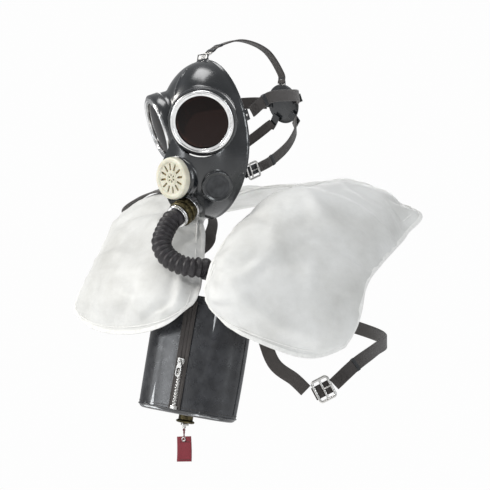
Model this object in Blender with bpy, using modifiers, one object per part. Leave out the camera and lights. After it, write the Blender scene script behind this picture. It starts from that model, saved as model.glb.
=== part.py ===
"""Closed-circuit escape breathing set, as worn: mask, hose, collar bag and chest cartridge.

Metres, +Z up. The origin is the centre of the bag's neck opening. The wearer faces -Y,
and the wearer's left is +X. Run with: blender --background --python part.py
"""

import math

import bmesh
import bpy
from mathutils import Matrix, Vector

# Mask: placed on the wearer's face, turned to the wearer's right and nodded down.
MASK_ORIGIN = Vector((-0.0285, -0.106, 0.126))
MASK_YAW = math.radians(-15)
MASK_NOD = math.radians(10)
RUBBER = 0.003
FACE_FRONT_Y = -0.080
FACE_FRONT_Z = -0.045
RIM_CENTRE_Z = -0.020
RIM_HALF_WIDTH = 0.073
RIM_UP = 0.115
RIM_DOWN = 0.126

# Eye lenses, splayed outwards and tilted down.
LENS_X = 0.046
LENS_Y = -0.058
LENS_SPLAY = math.radians(33)
LENS_TILT = math.radians(12)
LENS_RIM_RADIUS = 0.0485
LENS_HOLE_RADIUS = 0.0405
LENS_RADIUS = 0.0425

# Speech diaphragm, straight ahead of the mouth.
VOICE_Z = -0.079
VOICE_FRONT_Y = -0.094
VOICE_RADIUS = 0.032

# Outlet spout and hose coupling, on one axis that points forward and down.
SPOUT_BASE = Vector((0, -0.045, -0.118))
SPOUT_AXIS = Vector((0, -0.917, -0.4)).normalized()
HOSE_DIAMETER = 0.031

# Cartridge in its case, hanging on the chest and leaning to the wearer's left.
CASE_CENTRE = Vector((-0.0218, -0.150, -0.2357))
CASE_LEAN = math.radians(11)
CASE_WIDTH = 0.160
CASE_DEPTH = 0.076
CASE_HEIGHT = 0.180
CASE_WALL = 0.002
SHELL_WALL = 0.0012
NECK_X = 0.048
GAP = 0.0003

# Manifold ports, as directions in the row frame.
HOSE_PORT_DIRECTION = Vector((-0.6, -0.8, 0))
BAG_PORT_DIRECTION = Vector((0.25, -0.968, 0)).normalized()

# Hose route from the mask coupling to the manifold, chosen by hand.
HOSE_ROUTE = [
    (-0.0490, -0.2080, -0.0660),
    (-0.0380, -0.2150, -0.0870),
    (-0.0190, -0.2160, -0.1010),
    (0.0010, -0.2090, -0.1080),
    (0.0170, -0.1960, -0.1085),
]

# Collar bag: sections from the wearer's left chest, round the neck, to the right chest.
# Each holds the inner edge, the middle and the outer edge of the bag's mid-surface.
BAG_SECTIONS = [
    ((0.050, -0.213, -0.190), (0.118, -0.206, -0.226), (0.205, -0.148, -0.262)),
    ((0.029, -0.213, -0.150), (0.125, -0.214, -0.175), (0.230, -0.112, -0.200)),
    ((0.038, -0.210, -0.107), (0.128, -0.198, -0.118), (0.231, -0.080, -0.135)),
    ((0.036, -0.150, -0.054), (0.128, -0.135, -0.050), (0.229, -0.030, -0.100)),
    ((0.040, -0.095, -0.024), (0.130, -0.062, 0.005), (0.227, 0.020, -0.072)),
    ((0.064, -0.015, -0.006), (0.132, 0.010, 0.025), (0.222, 0.075, -0.042)),
    ((0.058, 0.042, 0.030), (0.120, 0.072, 0.038), (0.214, 0.120, 0.000)),
    ((0.000, 0.072, 0.046), (0.000, 0.108, 0.048), (0.000, 0.146, 0.032)),
    ((-0.058, 0.042, 0.032), (-0.125, 0.072, 0.042), (-0.222, 0.110, 0.006)),
    ((-0.066, -0.015, 0.000), (-0.145, 0.010, 0.036), (-0.240, 0.050, 0.006)),
    ((-0.050, -0.080, -0.022), (-0.150, -0.040, 0.016), (-0.246, -0.005, 0.000)),
    ((-0.022, -0.125, -0.050), (-0.140, -0.105, -0.028), (-0.247, -0.055, -0.050)),
    ((-0.004, -0.161, -0.097), (-0.118, -0.160, -0.085), (-0.248, -0.090, -0.095)),
    ((0.009, -0.198, -0.148), (-0.105, -0.199, -0.148), (-0.253, -0.122, -0.140)),
    ((-0.008, -0.207, -0.176), (-0.095, -0.208, -0.203), (-0.236, -0.148, -0.180)),
]
BAG_THICKNESS = 0.018
BAG_SEAM = 0.0024
BAG_STEPS_ALONG = 36
BAG_STEPS_ACROSS = 8
BAG_CORNER = 0.036

PARTS = "escape_breathing_set"
CUTTERS = "cutters"

COLOURS = {
    "black_rubber": ((0.025, 0.027, 0.030), 0.38, 0.0),
    "hose_rubber": ((0.030, 0.026, 0.030), 0.5, 0.0),
    "rim_metal": ((0.80, 0.80, 0.80), 0.25, 1.0),
    "steel": ((0.62, 0.62, 0.63), 0.3, 1.0),
    "brass": ((0.16, 0.13, 0.06), 0.4, 1.0),
    "glass": ((0.05, 0.04, 0.04), 0.05, 0.0),
    "ivory_plastic": ((0.66, 0.61, 0.49), 0.45, 0.0),
    "membrane": ((0.55, 0.45, 0.25), 0.5, 0.0),
    "webbing": ((0.030, 0.027, 0.027), 0.85, 0.0),
    "bag_cloth": ((0.74, 0.75, 0.74), 0.6, 0.0),
    "leatherette": ((0.020, 0.021, 0.024), 0.35, 0.0),
    "aluminium": ((0.55, 0.56, 0.57), 0.4, 1.0),
    "granules": ((0.70, 0.62, 0.35), 0.9, 0.0),
    "filter_felt": ((0.78, 0.76, 0.70), 0.95, 0.0),
    "red_tag": ((0.42, 0.02, 0.04), 0.55, 0.0),
}


def clear_scene():
    for old in list(bpy.data.objects):
        bpy.data.objects.remove(old, do_unlink=True)
    for name in (PARTS, CUTTERS):
        group = bpy.data.collections.get(name)
        if group:
            bpy.data.collections.remove(group)
        bpy.context.scene.collection.children.link(bpy.data.collections.new(name))


def material(name):
    existing = bpy.data.materials.get(name)
    if existing:
        return existing
    colour, roughness, metallic = COLOURS[name]
    made = bpy.data.materials.new(name)
    made.use_nodes = True
    shader = made.node_tree.nodes["Principled BSDF"]
    shader.inputs["Base Color"].default_value = (*colour, 1.0)
    shader.inputs["Roughness"].default_value = roughness
    shader.inputs["Metallic"].default_value = metallic
    return made


def hang_on(name, place, pieces):
    """Parent pieces, where they stand, to an empty on the axis that they move about."""
    pivot = bpy.data.objects.new(name, None)
    bpy.data.collections[PARTS].objects.link(pivot)
    pivot.matrix_world = place
    for piece in pieces:
        made = bpy.data.objects[piece]
        made.parent = pivot
        made.matrix_parent_inverse = place.inverted()


def frame_along(origin, axis, up=Vector((0, 0, 1))):
    """A matrix whose +Z lies along axis, with +X square to axis and up."""
    z = Vector(axis).normalized()
    x = Vector(up).cross(z)
    if x.length < 1e-4:
        x = Vector((1, 0, 0))
    x.normalize()
    y = z.cross(x)
    turned = Matrix((x, y, z)).transposed().to_4x4()
    return Matrix.Translation(Vector(origin)) @ turned


MASK_FRAME = (
    Matrix.Translation(MASK_ORIGIN)
    @ Matrix.Rotation(MASK_YAW, 4, "Z")
    @ Matrix.Rotation(MASK_NOD, 4, "X")
)
CASE_FRAME = Matrix.Translation(CASE_CENTRE) @ Matrix.Rotation(CASE_LEAN, 4, "Y")
SPOUT_FRAME = MASK_FRAME @ frame_along(SPOUT_BASE, SPOUT_AXIS)


def lens_frame(side):
    normal = Vector(
        (
            side * math.sin(LENS_SPLAY) * math.cos(LENS_TILT),
            -math.cos(LENS_SPLAY) * math.cos(LENS_TILT),
            -math.sin(LENS_TILT),
        )
    )
    return frame_along((side * LENS_X, LENS_Y, 0), normal)


def add(name, mesh, skin, placed=None, group=PARTS):
    made = bpy.data.objects.new(name, mesh)
    bpy.data.collections[group].objects.link(made)
    if skin:
        mesh.materials.clear()
        mesh.materials.append(material(skin))
    made.matrix_world = placed or Matrix.Identity(4)
    if group == CUTTERS:
        made.hide_render = True
        made.display_type = "WIRE"
    return made


def settle(made):
    """Apply an object's modifiers, weld it and turn its faces outwards."""
    bpy.context.view_layer.update()
    evaluated = made.evaluated_get(bpy.context.evaluated_depsgraph_get())
    mesh = bpy.data.meshes.new_from_object(evaluated)
    made.modifiers.clear()
    work = bmesh.new()
    work.from_mesh(mesh)
    bmesh.ops.remove_doubles(work, verts=work.verts, dist=1e-6)
    bmesh.ops.recalc_face_normals(work, faces=work.faces)
    work.to_mesh(mesh)
    work.free()
    mesh.shade_smooth()
    mesh.set_sharp_from_angle(angle=math.radians(35))
    made.data = mesh
    return made


def turned(name, profile, skin, placed=None, steps=20, group=PARTS):
    """Turn a profile of (radius, height) about Z; it runs top to bottom on its outer side."""
    mesh = bpy.data.meshes.new(name)
    points = [(radius, 0, height) for radius, height in profile]
    edges = [(k, k + 1) for k in range(len(points) - 1)]
    if profile[0][0] > 0:
        edges.append((len(points) - 1, 0))
    mesh.from_pydata(points, edges, [])
    made = add(name, mesh, skin, placed, group)
    screw = made.modifiers.new("turn", "SCREW")
    screw.steps = steps
    screw.render_steps = steps
    screw.use_merge_vertices = True
    screw.merge_threshold = 0.00001
    return settle(made)


def ring(name, outer, inner, low, high, skin, placed, steps=20, chamfer=0.0006):
    profile = [
        (inner, high),
        (outer - chamfer, high),
        (outer, high - chamfer),
        (outer, low + chamfer),
        (outer - chamfer, low),
        (inner, low),
    ]
    return turned(name, profile, skin, placed, steps)


def loft(name, rings, skin, placed=None, group=PARTS):
    """Skin a row of rings that have the same number of points, with a flat cap at each end."""
    work = bmesh.new()
    rows = [[work.verts.new(point) for point in row] for row in rings]
    count = len(rows[0])
    for upper, lower in zip(rows, rows[1:]):
        for k in range(count):
            after = (k + 1) % count
            work.faces.new((upper[k], upper[after], lower[after], lower[k]))
    work.faces.new(rows[0])
    work.faces.new(list(reversed(rows[-1])))
    bmesh.ops.recalc_face_normals(work, faces=work.faces)
    mesh = bpy.data.meshes.new(name)
    work.to_mesh(mesh)
    work.free()
    return settle(add(name, mesh, skin, placed, group))


def obround(width, depth, steps=8):
    """Outline of a straight-sided oval, as points in X and Y."""
    half = (width - depth) / 2
    radius = depth / 2
    points = []
    for centre, start in ((half, -90), (-half, 90)):
        for k in range(steps + 1):
            angle = math.radians(start + 180 * k / steps)
            points.append((centre + radius * math.cos(angle), radius * math.sin(angle)))
    return points


def oval_slab(name, width, depth, low, high, skin, placed=None, group=PARTS):
    outline = obround(width, depth)
    rings = [[(x, y, z) for x, y in outline] for z in (low, high)]
    return loft(name, rings, skin, placed, group)


def subtract(target, cutters, operation="DIFFERENCE"):
    """Cut or join other objects with a Boolean each, then remove them."""
    for cutter in cutters:
        tool = target.modifiers.new("tool", "BOOLEAN")
        tool.operation = operation
        tool.solver = "EXACT"
        tool.object = cutter
        settle(target)
        bpy.data.objects.remove(cutter, do_unlink=True)
    return target


def join(target, others):
    return subtract(target, others, "UNION")


def rod(name, radius, low, high, placed, skin=None, steps=20, group=CUTTERS):
    profile = [(0, high), (radius, high), (radius, low), (0, low)]
    return turned(name, profile, skin, placed, steps, group)


def smooth_path(points, per_span):
    """Points along a Catmull-Rom curve through the given ones."""
    knots = [Vector(point) for point in points]
    ends = [2 * knots[0] - knots[1], *knots, 2 * knots[-1] - knots[-2]]
    path = []
    for a, b, c, d in zip(ends, ends[1:], ends[2:], ends[3:]):
        for k in range(per_span):
            t = k / per_span
            path.append(
                0.5
                * (
                    2 * b
                    + (c - a) * t
                    + (2 * a - 5 * b + 4 * c - d) * t**2
                    + (3 * b - a - 3 * c + d) * t**3
                )
            )
    path.append(knots[-1])
    return path


def strap(name, stations, width, thickness, skin, placed=None, per_span=4):
    """Flat webbing through stations of (point, outward direction of its face)."""
    path = smooth_path([point for point, face in stations], per_span)
    faces = smooth_path([face for point, face in stations], per_span)
    rings = []
    for k, centre in enumerate(path):
        before = path[max(k - 1, 0)]
        after = path[min(k + 1, len(path) - 1)]
        along = (after - before).normalized()
        side = along.cross(faces[k]).normalized()
        face = side.cross(along).normalized()
        across = side * width / 2
        deep = face * thickness / 2
        corners = (across + deep, -across + deep, -across - deep, across - deep)
        rings.append([centre + corner for corner in corners])
    return loft(name, rings, skin, placed)


def tube(name, path, radius, skin, placed=None, resolution=2, cyclic=False):
    """A round bar along a path, from a bevelled curve with filled ends."""
    curve = bpy.data.curves.new(name, "CURVE")
    curve.dimensions = "3D"
    curve.bevel_depth = radius
    curve.bevel_resolution = resolution
    curve.use_fill_caps = True
    spline = curve.splines.new("POLY")
    spline.points.add(len(path) - 1)
    for point, place in zip(spline.points, path):
        point.co = (*place, 1)
    spline.use_cyclic_u = cyclic
    guide = bpy.data.objects.new(name + "_curve", curve)
    bpy.data.collections[CUTTERS].objects.link(guide)
    bpy.context.view_layer.update()
    evaluated = guide.evaluated_get(bpy.context.evaluated_depsgraph_get())
    mesh = bpy.data.meshes.new_from_object(evaluated)
    bpy.data.objects.remove(guide, do_unlink=True)
    return settle(add(name, mesh, skin, placed))


def rounded_frame(half_x, half_z, corner, steps=3):
    """Centre line of a rectangle with round corners, in X and Z."""
    points = []
    for sx, sz, start in ((1, 1, 0), (-1, 1, 90), (-1, -1, 180), (1, -1, 270)):
        for k in range(steps + 1):
            angle = math.radians(start + 90 * k / steps)
            x = sx * (half_x - corner) + corner * math.cos(angle)
            z = sz * (half_z - corner) + corner * math.sin(angle)
            points.append(Vector((x, 0, z)))
    return points


def coil(name, radius, wire, low, high, turns, skin, placed, per_turn=12):
    path = []
    for k in range(int(turns * per_turn) + 1):
        angle = 2 * math.pi * k / per_turn
        height = low + wire + (high - low - 2 * wire) * k / (turns * per_turn)
        path.append(Vector((radius * math.cos(angle), radius * math.sin(angle), height)))
    return tube(name, path, wire, skin, placed, resolution=1)


# ---------------------------------------------------------------- mask


def face_rim(angle):
    """Point of the mask's rear edge; angle 0 is the forehead, 90 degrees the left temple."""
    lift = math.cos(angle)
    x = RIM_HALF_WIDTH * math.sin(angle)
    z = RIM_CENTRE_Z + lift * (RIM_UP if lift > 0 else RIM_DOWN)
    y = 0.009 - 0.002 * max(lift, 0) - 0.024 * min(lift, 0) ** 2
    return Vector((x, y, z))


def face_point(angle, reach):
    """Point of the mask's outer surface; reach is 1 at the rear edge and 0 at the front."""
    edge = face_rim(angle)
    depth = max(1 - reach**2.5, 0) ** 0.5
    x = reach * edge.x
    z = FACE_FRONT_Z + reach * (edge.z - FACE_FRONT_Z)
    return Vector((x, edge.y + (FACE_FRONT_Y - edge.y) * depth, z))


def face_dome():
    around = 32
    reaches = [1, 0.98, 0.93, 0.85, 0.73, 0.58, 0.40, 0.20]
    work = bmesh.new()
    rows = []
    for reach in reaches:
        angles = [2 * math.pi * k / around for k in range(around)]
        rows.append([work.verts.new(face_point(angle, reach)) for angle in angles])
    for outer, inner in zip(rows, rows[1:]):
        for k in range(around):
            after = (k + 1) % around
            work.faces.new((outer[k], outer[after], inner[after], inner[k]))
    front = work.verts.new(face_point(0, 0))
    for k in range(around):
        work.faces.new((rows[-1][k], rows[-1][(k + 1) % around], front))
    bmesh.ops.recalc_face_normals(work, faces=work.faces)
    if front.normal.y > 0:
        bmesh.ops.reverse_faces(work, faces=work.faces)
    mesh = bpy.data.meshes.new("facepiece")
    work.to_mesh(mesh)
    work.free()
    dome = add("facepiece", mesh, "black_rubber")
    shell = dome.modifiers.new("wall", "SOLIDIFY")
    shell.thickness = RUBBER
    shell.offset = -1
    return settle(dome)


def lug(name, centre, direction, length, width):
    """A flat rubber tab that carries a strap buckle, running back along direction."""
    outward = Vector((centre[0], 0, 0)) if abs(centre[0]) > 0.01 else Vector((0, 0, 1))
    stations = [
        (Vector(centre) - Vector(direction) * length * 0.4, outward.normalized()),
        (Vector(centre) + Vector(direction) * length * 0.6, outward.normalized()),
    ]
    return strap(name, stations, width, 0.0032, None, None, 1)


LUGS = {
    "forehead": ((0, 0.0060, 0.0945), (0, 0.35, 0.94), 0.018, 0.016),
    "temple_left": ((0.0695, 0.010, 0.002), (0.02, 0.97, 0.24), 0.018, 0.018),
    "temple_right": ((-0.0695, 0.010, 0.002), (-0.02, 0.97, 0.24), 0.018, 0.018),
    "cheek_left": ((0.0605, -0.003, -0.0835), (0.12, 0.99, 0.06), 0.013, 0.014),
    "cheek_right": ((-0.0605, -0.003, -0.0835), (-0.12, 0.99, 0.06), 0.013, 0.014),
}


def facepiece():
    dome = face_dome()
    cutters = []
    for side in (1, -1):
        seat = lens_frame(side)
        wall = rod(f"seat_wall_{side}", LENS_RIM_RADIUS - 0.0005, -0.026, -0.0030, seat, None, 28)
        clear = rod(f"eye_clear_{side}", LENS_RIM_RADIUS + 0.001, -0.0052, 0.050, seat, None, 28)
        cutters.append(clear)
        join(dome, [wall])
    boss_axis = Vector((0.80, -0.55, -0.22)).normalized()
    for side in (1, -1):
        axis = Vector((side * boss_axis.x, boss_axis.y, boss_axis.z))
        place = frame_along((side * 0.050, -0.050, -0.0965), axis)
        join(dome, [rod(f"cheek_boss_{side}", 0.021, -0.012, 0.0035, place)])
        cutters.append(rod(f"boss_bore_{side}", 0.0175, -0.030, 0.0005, place))
    snout = frame_along((0, 0, VOICE_Z), (0, -1, 0))
    join(dome, [rod("snout", 0.0300, 0.062, 0.0835, snout, None, 28)])
    spout = frame_along(SPOUT_BASE, SPOUT_AXIS)
    subtract(dome, [rod("clamp_room", 0.0194, 0.0172, 0.045, spout, None, 24)])
    join(dome, [rod("spout_wall", 0.017, -0.012, 0.022, spout)])
    for spec in LUGS.values():
        join(dome, [lug("lug", *spec)])
    for side in (1, -1):
        seat = lens_frame(side)
        cutters.append(rod(f"eye_hole_{side}", LENS_HOLE_RADIUS, -0.032, 0.03, seat, None, 28))
    cutters.append(rod("spout_hole", 0.0135, -0.03, 0.03, spout))
    cutters.append(rod("voice_hole", 0.0275, 0.045, 0.10, snout, None, 28))
    subtract(dome, cutters)
    inside = inner_room()
    subtract(dome, [inside])
    dome.matrix_world = MASK_FRAME
    return dome


def inner_room():
    """The space of the wearer's face, which trims whatever reaches into the mask."""
    around = 24
    reaches = [1, 0.94, 0.84, 0.70, 0.52, 0.34, 0.17]
    shrink = 0.0050
    rings = []
    for reach in reaches:
        row = []
        for k in range(around):
            place = face_point(2 * math.pi * k / around, reach)
            flat = Vector((place.x, 0, place.z - FACE_FRONT_Z))
            flat *= 1 - shrink / max(flat.length, 0.02)
            row.append(Vector((flat.x, place.y + shrink, flat.z + FACE_FRONT_Z)))
        rings.append(row)
    back = [Vector((p.x, 0.016, p.z)) for p in rings[0]]
    return loft("inner_room", [back, *rings], None, None, CUTTERS)


def lenses():
    for side, label in ((1, "left"), (-1, "right")):
        place = MASK_FRAME @ lens_frame(side)
        gasket = [
            (LENS_HOLE_RADIUS - 0.0010, -0.0010),
            (LENS_RIM_RADIUS - 0.0030, -0.0010),
            (LENS_RIM_RADIUS, -0.0025),
            (LENS_RIM_RADIUS, -0.0049),
            (LENS_HOLE_RADIUS - 0.0010, -0.0049),
        ]
        turned(f"lens_gasket_{label}", gasket, "black_rubber", place, 32)
        glass = [
            (0, 0.0020),
            (LENS_RADIUS - 0.0006, 0.0020),
            (LENS_RADIUS, 0.0014),
            (LENS_RADIUS, -0.0002),
            (LENS_RADIUS - 0.0006, -0.0007),
            (0, -0.0007),
        ]
        turned(f"lens_{label}", glass, "glass", place, 32)
        rim = [
            (LENS_RADIUS - 0.0012, 0.0045),
            (LENS_RIM_RADIUS - 0.0025, 0.0052),
            (LENS_RIM_RADIUS + 0.0003, 0.0035),
            (LENS_RIM_RADIUS + 0.0003, -0.0007),
            (LENS_RADIUS + 0.0006, -0.0007),
            (LENS_RADIUS + 0.0006, 0.0023),
            (LENS_RADIUS - 0.0012, 0.0023),
        ]
        turned(f"lens_rim_{label}", rim, "rim_metal", place, 32)


def face_seal():
    """A thin rubber flap that turns in round the face opening, behind the rear edge."""
    around = 32
    outer, inner = [], []
    work = bmesh.new()
    for k in range(around):
        edge = face_rim(2 * math.pi * k / around)
        flat = Vector((edge.x, 0, edge.z - RIM_CENTRE_Z))
        shorter = flat * (1 - 0.015 / flat.length)
        tucked = flat * (1 - 0.0062 / flat.length)
        outer.append(work.verts.new((tucked.x, edge.y - 0.001, tucked.z + RIM_CENTRE_Z)))
        inner.append(work.verts.new((shorter.x, edge.y + 0.003, shorter.z + RIM_CENTRE_Z)))
    for k in range(around):
        after = (k + 1) % around
        work.faces.new((outer[k], outer[after], inner[after], inner[k]))
    bmesh.ops.recalc_face_normals(work, faces=work.faces)
    mesh = bpy.data.meshes.new("face_seal")
    work.to_mesh(mesh)
    work.free()
    seal = add("face_seal", mesh, "black_rubber", MASK_FRAME)
    wall = seal.modifiers.new("wall", "SOLIDIFY")
    wall.thickness = 0.0012
    wall.offset = 0
    return settle(seal)


def speech_unit():
    place = MASK_FRAME @ frame_along((0, 0, VOICE_Z), (0, -1, 0))
    front = -VOICE_FRONT_Y
    housing = [
        (0.0225, front - 0.0068),
        (0.0300, front - 0.0068),
        (0.0300, front - 0.0100),
        (0.0269, front - 0.0100),
        (0.0269, 0.0700),
        (0.0225, 0.0700),
    ]
    turned("speech_housing", housing, "aluminium", place, 24)
    ring("speech_diaphragm", 0.0285, 0.0, front - 0.0064, front - 0.0058, "membrane", place, 20, 0.0001)
    cap = [
        (0, front - 0.0018),
        (0.0240, front - 0.0018),
        (0.0262, front),
        (0.0295, front),
        (VOICE_RADIUS, front - 0.0022),
        (VOICE_RADIUS, front - 0.0095),
        (0.0304, front - 0.0095),
        (0.0304, front - 0.0052),
        (0.0250, front - 0.0045),
        (0, front - 0.0045),
    ]
    made = turned("speech_cap", cap, "ivory_plastic", place, 28)
    slots = []
    for k in range(8):
        angle = 2 * math.pi * k / 8
        spot = Matrix.Translation((0.0195 * math.cos(angle), 0.0195 * math.sin(angle), 0))
        slots.append(rod(f"slot_{k}", 0.0020, front - 0.010, front + 0.004, place @ spot, None, 6))
    subtract(made, slots)


def coupling():
    place = SPOUT_FRAME
    ring("spout_clamp_ring", 0.0188, 0.0173, 0.0176, 0.0217, "rim_metal", place)
    nipple = [
        (0.0110, 0.0512),
        (0.0128, 0.0512),
        (0.0128, 0.0440),
        (0.0150, 0.0440),
        (0.0150, 0.0395),
        (0.0172, 0.0385),
        (0.0172, 0.0225),
        (0.0132, 0.0225),
        (0.0132, 0.0060),
        (0.0110, 0.0060),
    ]
    turned("coupling_nipple", nipple, "brass", place, 20)
    nut = [
        (0.0153, 0.0432),
        (0.0188, 0.0432),
        (0.0200, 0.0420),
        (0.0200, 0.0370),
        (0.0180, 0.0360),
        (0.0180, 0.0335),
        (0.0200, 0.0325),
        (0.0200, 0.0275),
        (0.0180, 0.0265),
        (0.0180, 0.0230),
        (0.0175, 0.0230),
        (0.0175, 0.0390),
        (0.0153, 0.0398),
    ]
    made = turned("coupling_nut", nut, "brass", place, 24)
    notches = []
    for k in range(6):
        angle = 2 * math.pi * (k + 0.5) / 6
        spot = Matrix.Translation((0.0207 * math.cos(angle), 0.0207 * math.sin(angle), 0))
        notches.append(rod(f"notch_{k}", 0.0016, 0.020, 0.050, place @ spot, None, 6))
    subtract(made, notches)
    ring("hose_ring_upper", 0.0178, 0.0131, 0.0446, 0.0508, "rim_metal", place)


def head_harness():
    """Straps from the rubber lugs to the pad at the back of the head."""
    pad_centre = Vector((0, 0.176, 0.018))
    pad_face = Vector((0, 1, 0.12)).normalized()
    pad = frame_along(pad_centre, pad_face)
    turned(
        "head_pad",
        [(0, 0.0016), (0.029, 0.0016), (0.031, 0.0004), (0.031, -0.0016), (0, -0.0016)],
        "black_rubber",
        MASK_FRAME @ pad,
        28,
    )
    up = Vector((0, 0, 1))
    back = Vector((0, 1, 0))
    strap(
        "forehead_strap",
        [
            (Vector((0, 0.0215, 0.1065)), Vector((0, -0.45, 0.9))),
            (Vector((0, 0.048, 0.1165)), Vector((0, -0.25, 1))),
            (Vector((0, 0.098, 0.1215)), up),
            (Vector((0, 0.150, 0.103)), Vector((0, 0.7, 0.7))),
            (Vector((0, 0.178, 0.066)), Vector((0, 1, 0.2))),
            (Vector((0, 0.1765, 0.0505)), Vector((0, 1, 0.1))),
        ],
        0.014,
        0.0026,
        "webbing",
        MASK_FRAME,
    )
    for side, label in ((1, "left"), (-1, "right")):
        out = Vector((side, 0, 0))
        strap(
            f"temple_strap_{label}",
            [
                (Vector((side * 0.0728, 0.0235, 0.0070)), out),
                (Vector((side * 0.0800, 0.060, 0.026)), out),
                (Vector((side * 0.0700, 0.120, 0.027)), Vector((side, 0.5, 0))),
                (Vector((side * 0.0520, 0.156, 0.026)), Vector((side, 1, 0))),
                (Vector((side * 0.0320, 0.1725, 0.0225)), back),
            ],
            0.018,
            0.0026,
            "webbing",
            MASK_FRAME,
        )
        strap(
            f"cheek_strap_{label}",
            [
                (Vector((side * 0.0668, 0.0335, -0.0780)), out),
                (Vector((side * 0.0680, 0.062, -0.069)), out),
                (Vector((side * 0.0605, 0.108, -0.050)), Vector((side, 0.5, 0))),
                (Vector((side * 0.0440, 0.148, -0.028)), Vector((side, 1, 0))),
                (Vector((side * 0.0240, 0.1710, -0.0095)), back),
            ],
            0.015,
            0.0026,
            "webbing",
            MASK_FRAME,
        )


def head_buckles():
    """Wire buckles between the forehead and cheek lugs and their straps."""
    along = Vector((0, 0.9, 0.45)).normalized()
    across = Vector((1, 0, 0))
    face = across.cross(along)
    basis = Matrix((along, face, across)).transposed().to_4x4()
    place = MASK_FRAME @ Matrix.Translation(Vector((0, 0.0162, 0.1040))) @ basis
    outline = rounded_frame(0.0035, 0.0100, 0.0018, 2)
    tube("forehead_buckle", outline, 0.0009, "steel", place, 1, True)
    for side, label in ((1, "left"), (-1, "right")):
        place = cheek_buckle_frame(side)
        outline = rounded_frame(0.0110, 0.0115, 0.0028)
        frame = tube(f"cheek_buckle_{label}", outline, 0.0014, "steel", place, 1, True)
        ends = [Vector((-0.0035, 0, -0.0115)), Vector((-0.0035, 0, 0.0115))]
        join(frame, [tube("bar", ends, 0.0012, None, place, 1)])
        bar_place = place @ Matrix.Translation((-0.0035, 0, 0))
        tongue = [Vector((0.0023, 0.0019, 0)), Vector((0.0075, 0.0022, 0)), Vector((0.0155, 0.0024, 0))]
        tube(f"cheek_tongue_{label}", tongue, 0.0008, "steel", bar_place, 1)


def cheek_buckle_frame(side):
    """The cheek buckle's own frame: X runs back along the strap, Y points away from the face."""
    along = Vector((side * 0.12, 0.96, 0.25)).normalized()
    face = Vector((side, 0, 0))
    across = along.cross(face).normalized()
    face = across.cross(along).normalized()
    basis = Matrix((along, face, across)).transposed().to_4x4()
    return MASK_FRAME @ Matrix.Translation(Vector((side * 0.0655, 0.0195, -0.0815))) @ basis


# ---------------------------------------------------------------- bag


def section_curves():
    return [smooth_path([section[k] for section in BAG_SECTIONS], 6) for k in range(3)]


BAG_CURVES = section_curves()


def bag_point(u, v):
    """Mid-surface of the bag: u runs from the left chest to the right, v from neck to edge."""
    last = len(BAG_CURVES[0]) - 1
    spot = min(max(u, 0), 1) * last
    low = min(int(spot), last - 1)
    part = spot - low
    inner, middle, outer = (c[low].lerp(c[low + 1], part) for c in BAG_CURVES)
    return inner * (1 - v) * (1 - 2 * v) + middle * 4 * v * (1 - v) + outer * v * (2 * v - 1)


def bag_normal(u, v):
    step = 0.01
    u = min(max(u, step), 1 - step)
    v = min(max(v, step), 1 - step)
    along = bag_point(u + step, v) - bag_point(u - step, v)
    across = bag_point(u, v + step) - bag_point(u, v - step)
    return across.cross(along).normalized()


def bag_half_thickness(u, v):
    """A slack, pillow-like section that is thin at the welded edges."""
    across = (1 - abs(2 * v - 1) ** 3) ** 0.5
    along = (1 - abs(2 * u - 1) ** 24) ** 0.5
    return BAG_SEAM / 2 + (BAG_THICKNESS - BAG_SEAM) / 2 * across * along


def breathing_bag():
    work = bmesh.new()
    top, bottom = [], []
    for i in range(BAG_STEPS_ALONG + 1):
        upper, lower = [], []
        for j in range(BAG_STEPS_ACROSS + 1):
            v = j / BAG_STEPS_ACROSS
            trim = BAG_CORNER * abs(2 * v - 1) ** 6
            u = trim + (1 - 2 * trim) * i / BAG_STEPS_ALONG
            middle = bag_point(u, v)
            normal = bag_normal(u, v)
            half = bag_half_thickness(u, v)
            upper.append(work.verts.new(middle + normal * half))
            lower.append(work.verts.new(middle - normal * half))
        top.append(upper)
        bottom.append(lower)
    for i in range(BAG_STEPS_ALONG):
        for j in range(BAG_STEPS_ACROSS):
            a, b, c, d = top[i][j], top[i + 1][j], top[i + 1][j + 1], top[i][j + 1]
            work.faces.new((a, b, c, d))
            a, b, c, d = bottom[i][j], bottom[i][j + 1], bottom[i + 1][j + 1], bottom[i + 1][j]
            work.faces.new((a, b, c, d))
    last_i, last_j = BAG_STEPS_ALONG, BAG_STEPS_ACROSS
    for i in range(last_i):
        work.faces.new((top[i][0], bottom[i][0], bottom[i + 1][0], top[i + 1][0]))
        work.faces.new((top[i][last_j], top[i + 1][last_j], bottom[i + 1][last_j], bottom[i][last_j]))
    for j in range(last_j):
        work.faces.new((top[0][j], top[0][j + 1], bottom[0][j + 1], bottom[0][j]))
        work.faces.new((top[last_i][j], bottom[last_i][j], bottom[last_i][j + 1], top[last_i][j + 1]))
    bmesh.ops.recalc_face_normals(work, faces=work.faces)
    mesh = bpy.data.meshes.new("breathing_bag")
    work.to_mesh(mesh)
    work.free()
    return settle(add("breathing_bag", mesh, "bag_cloth"))


SLING_U = 0.685
VALVE_U = 0.83
VALVE_V = 0.45


def valve_frame():
    """Frame of the relief valve: +Z points away from the bag, towards the chest."""
    normal = -bag_normal(VALVE_U, VALVE_V)
    surface = bag_point(VALVE_U, VALVE_V) + normal * (bag_half_thickness(VALVE_U, VALVE_V) + 0.0030)
    return frame_along(surface, normal)


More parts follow.
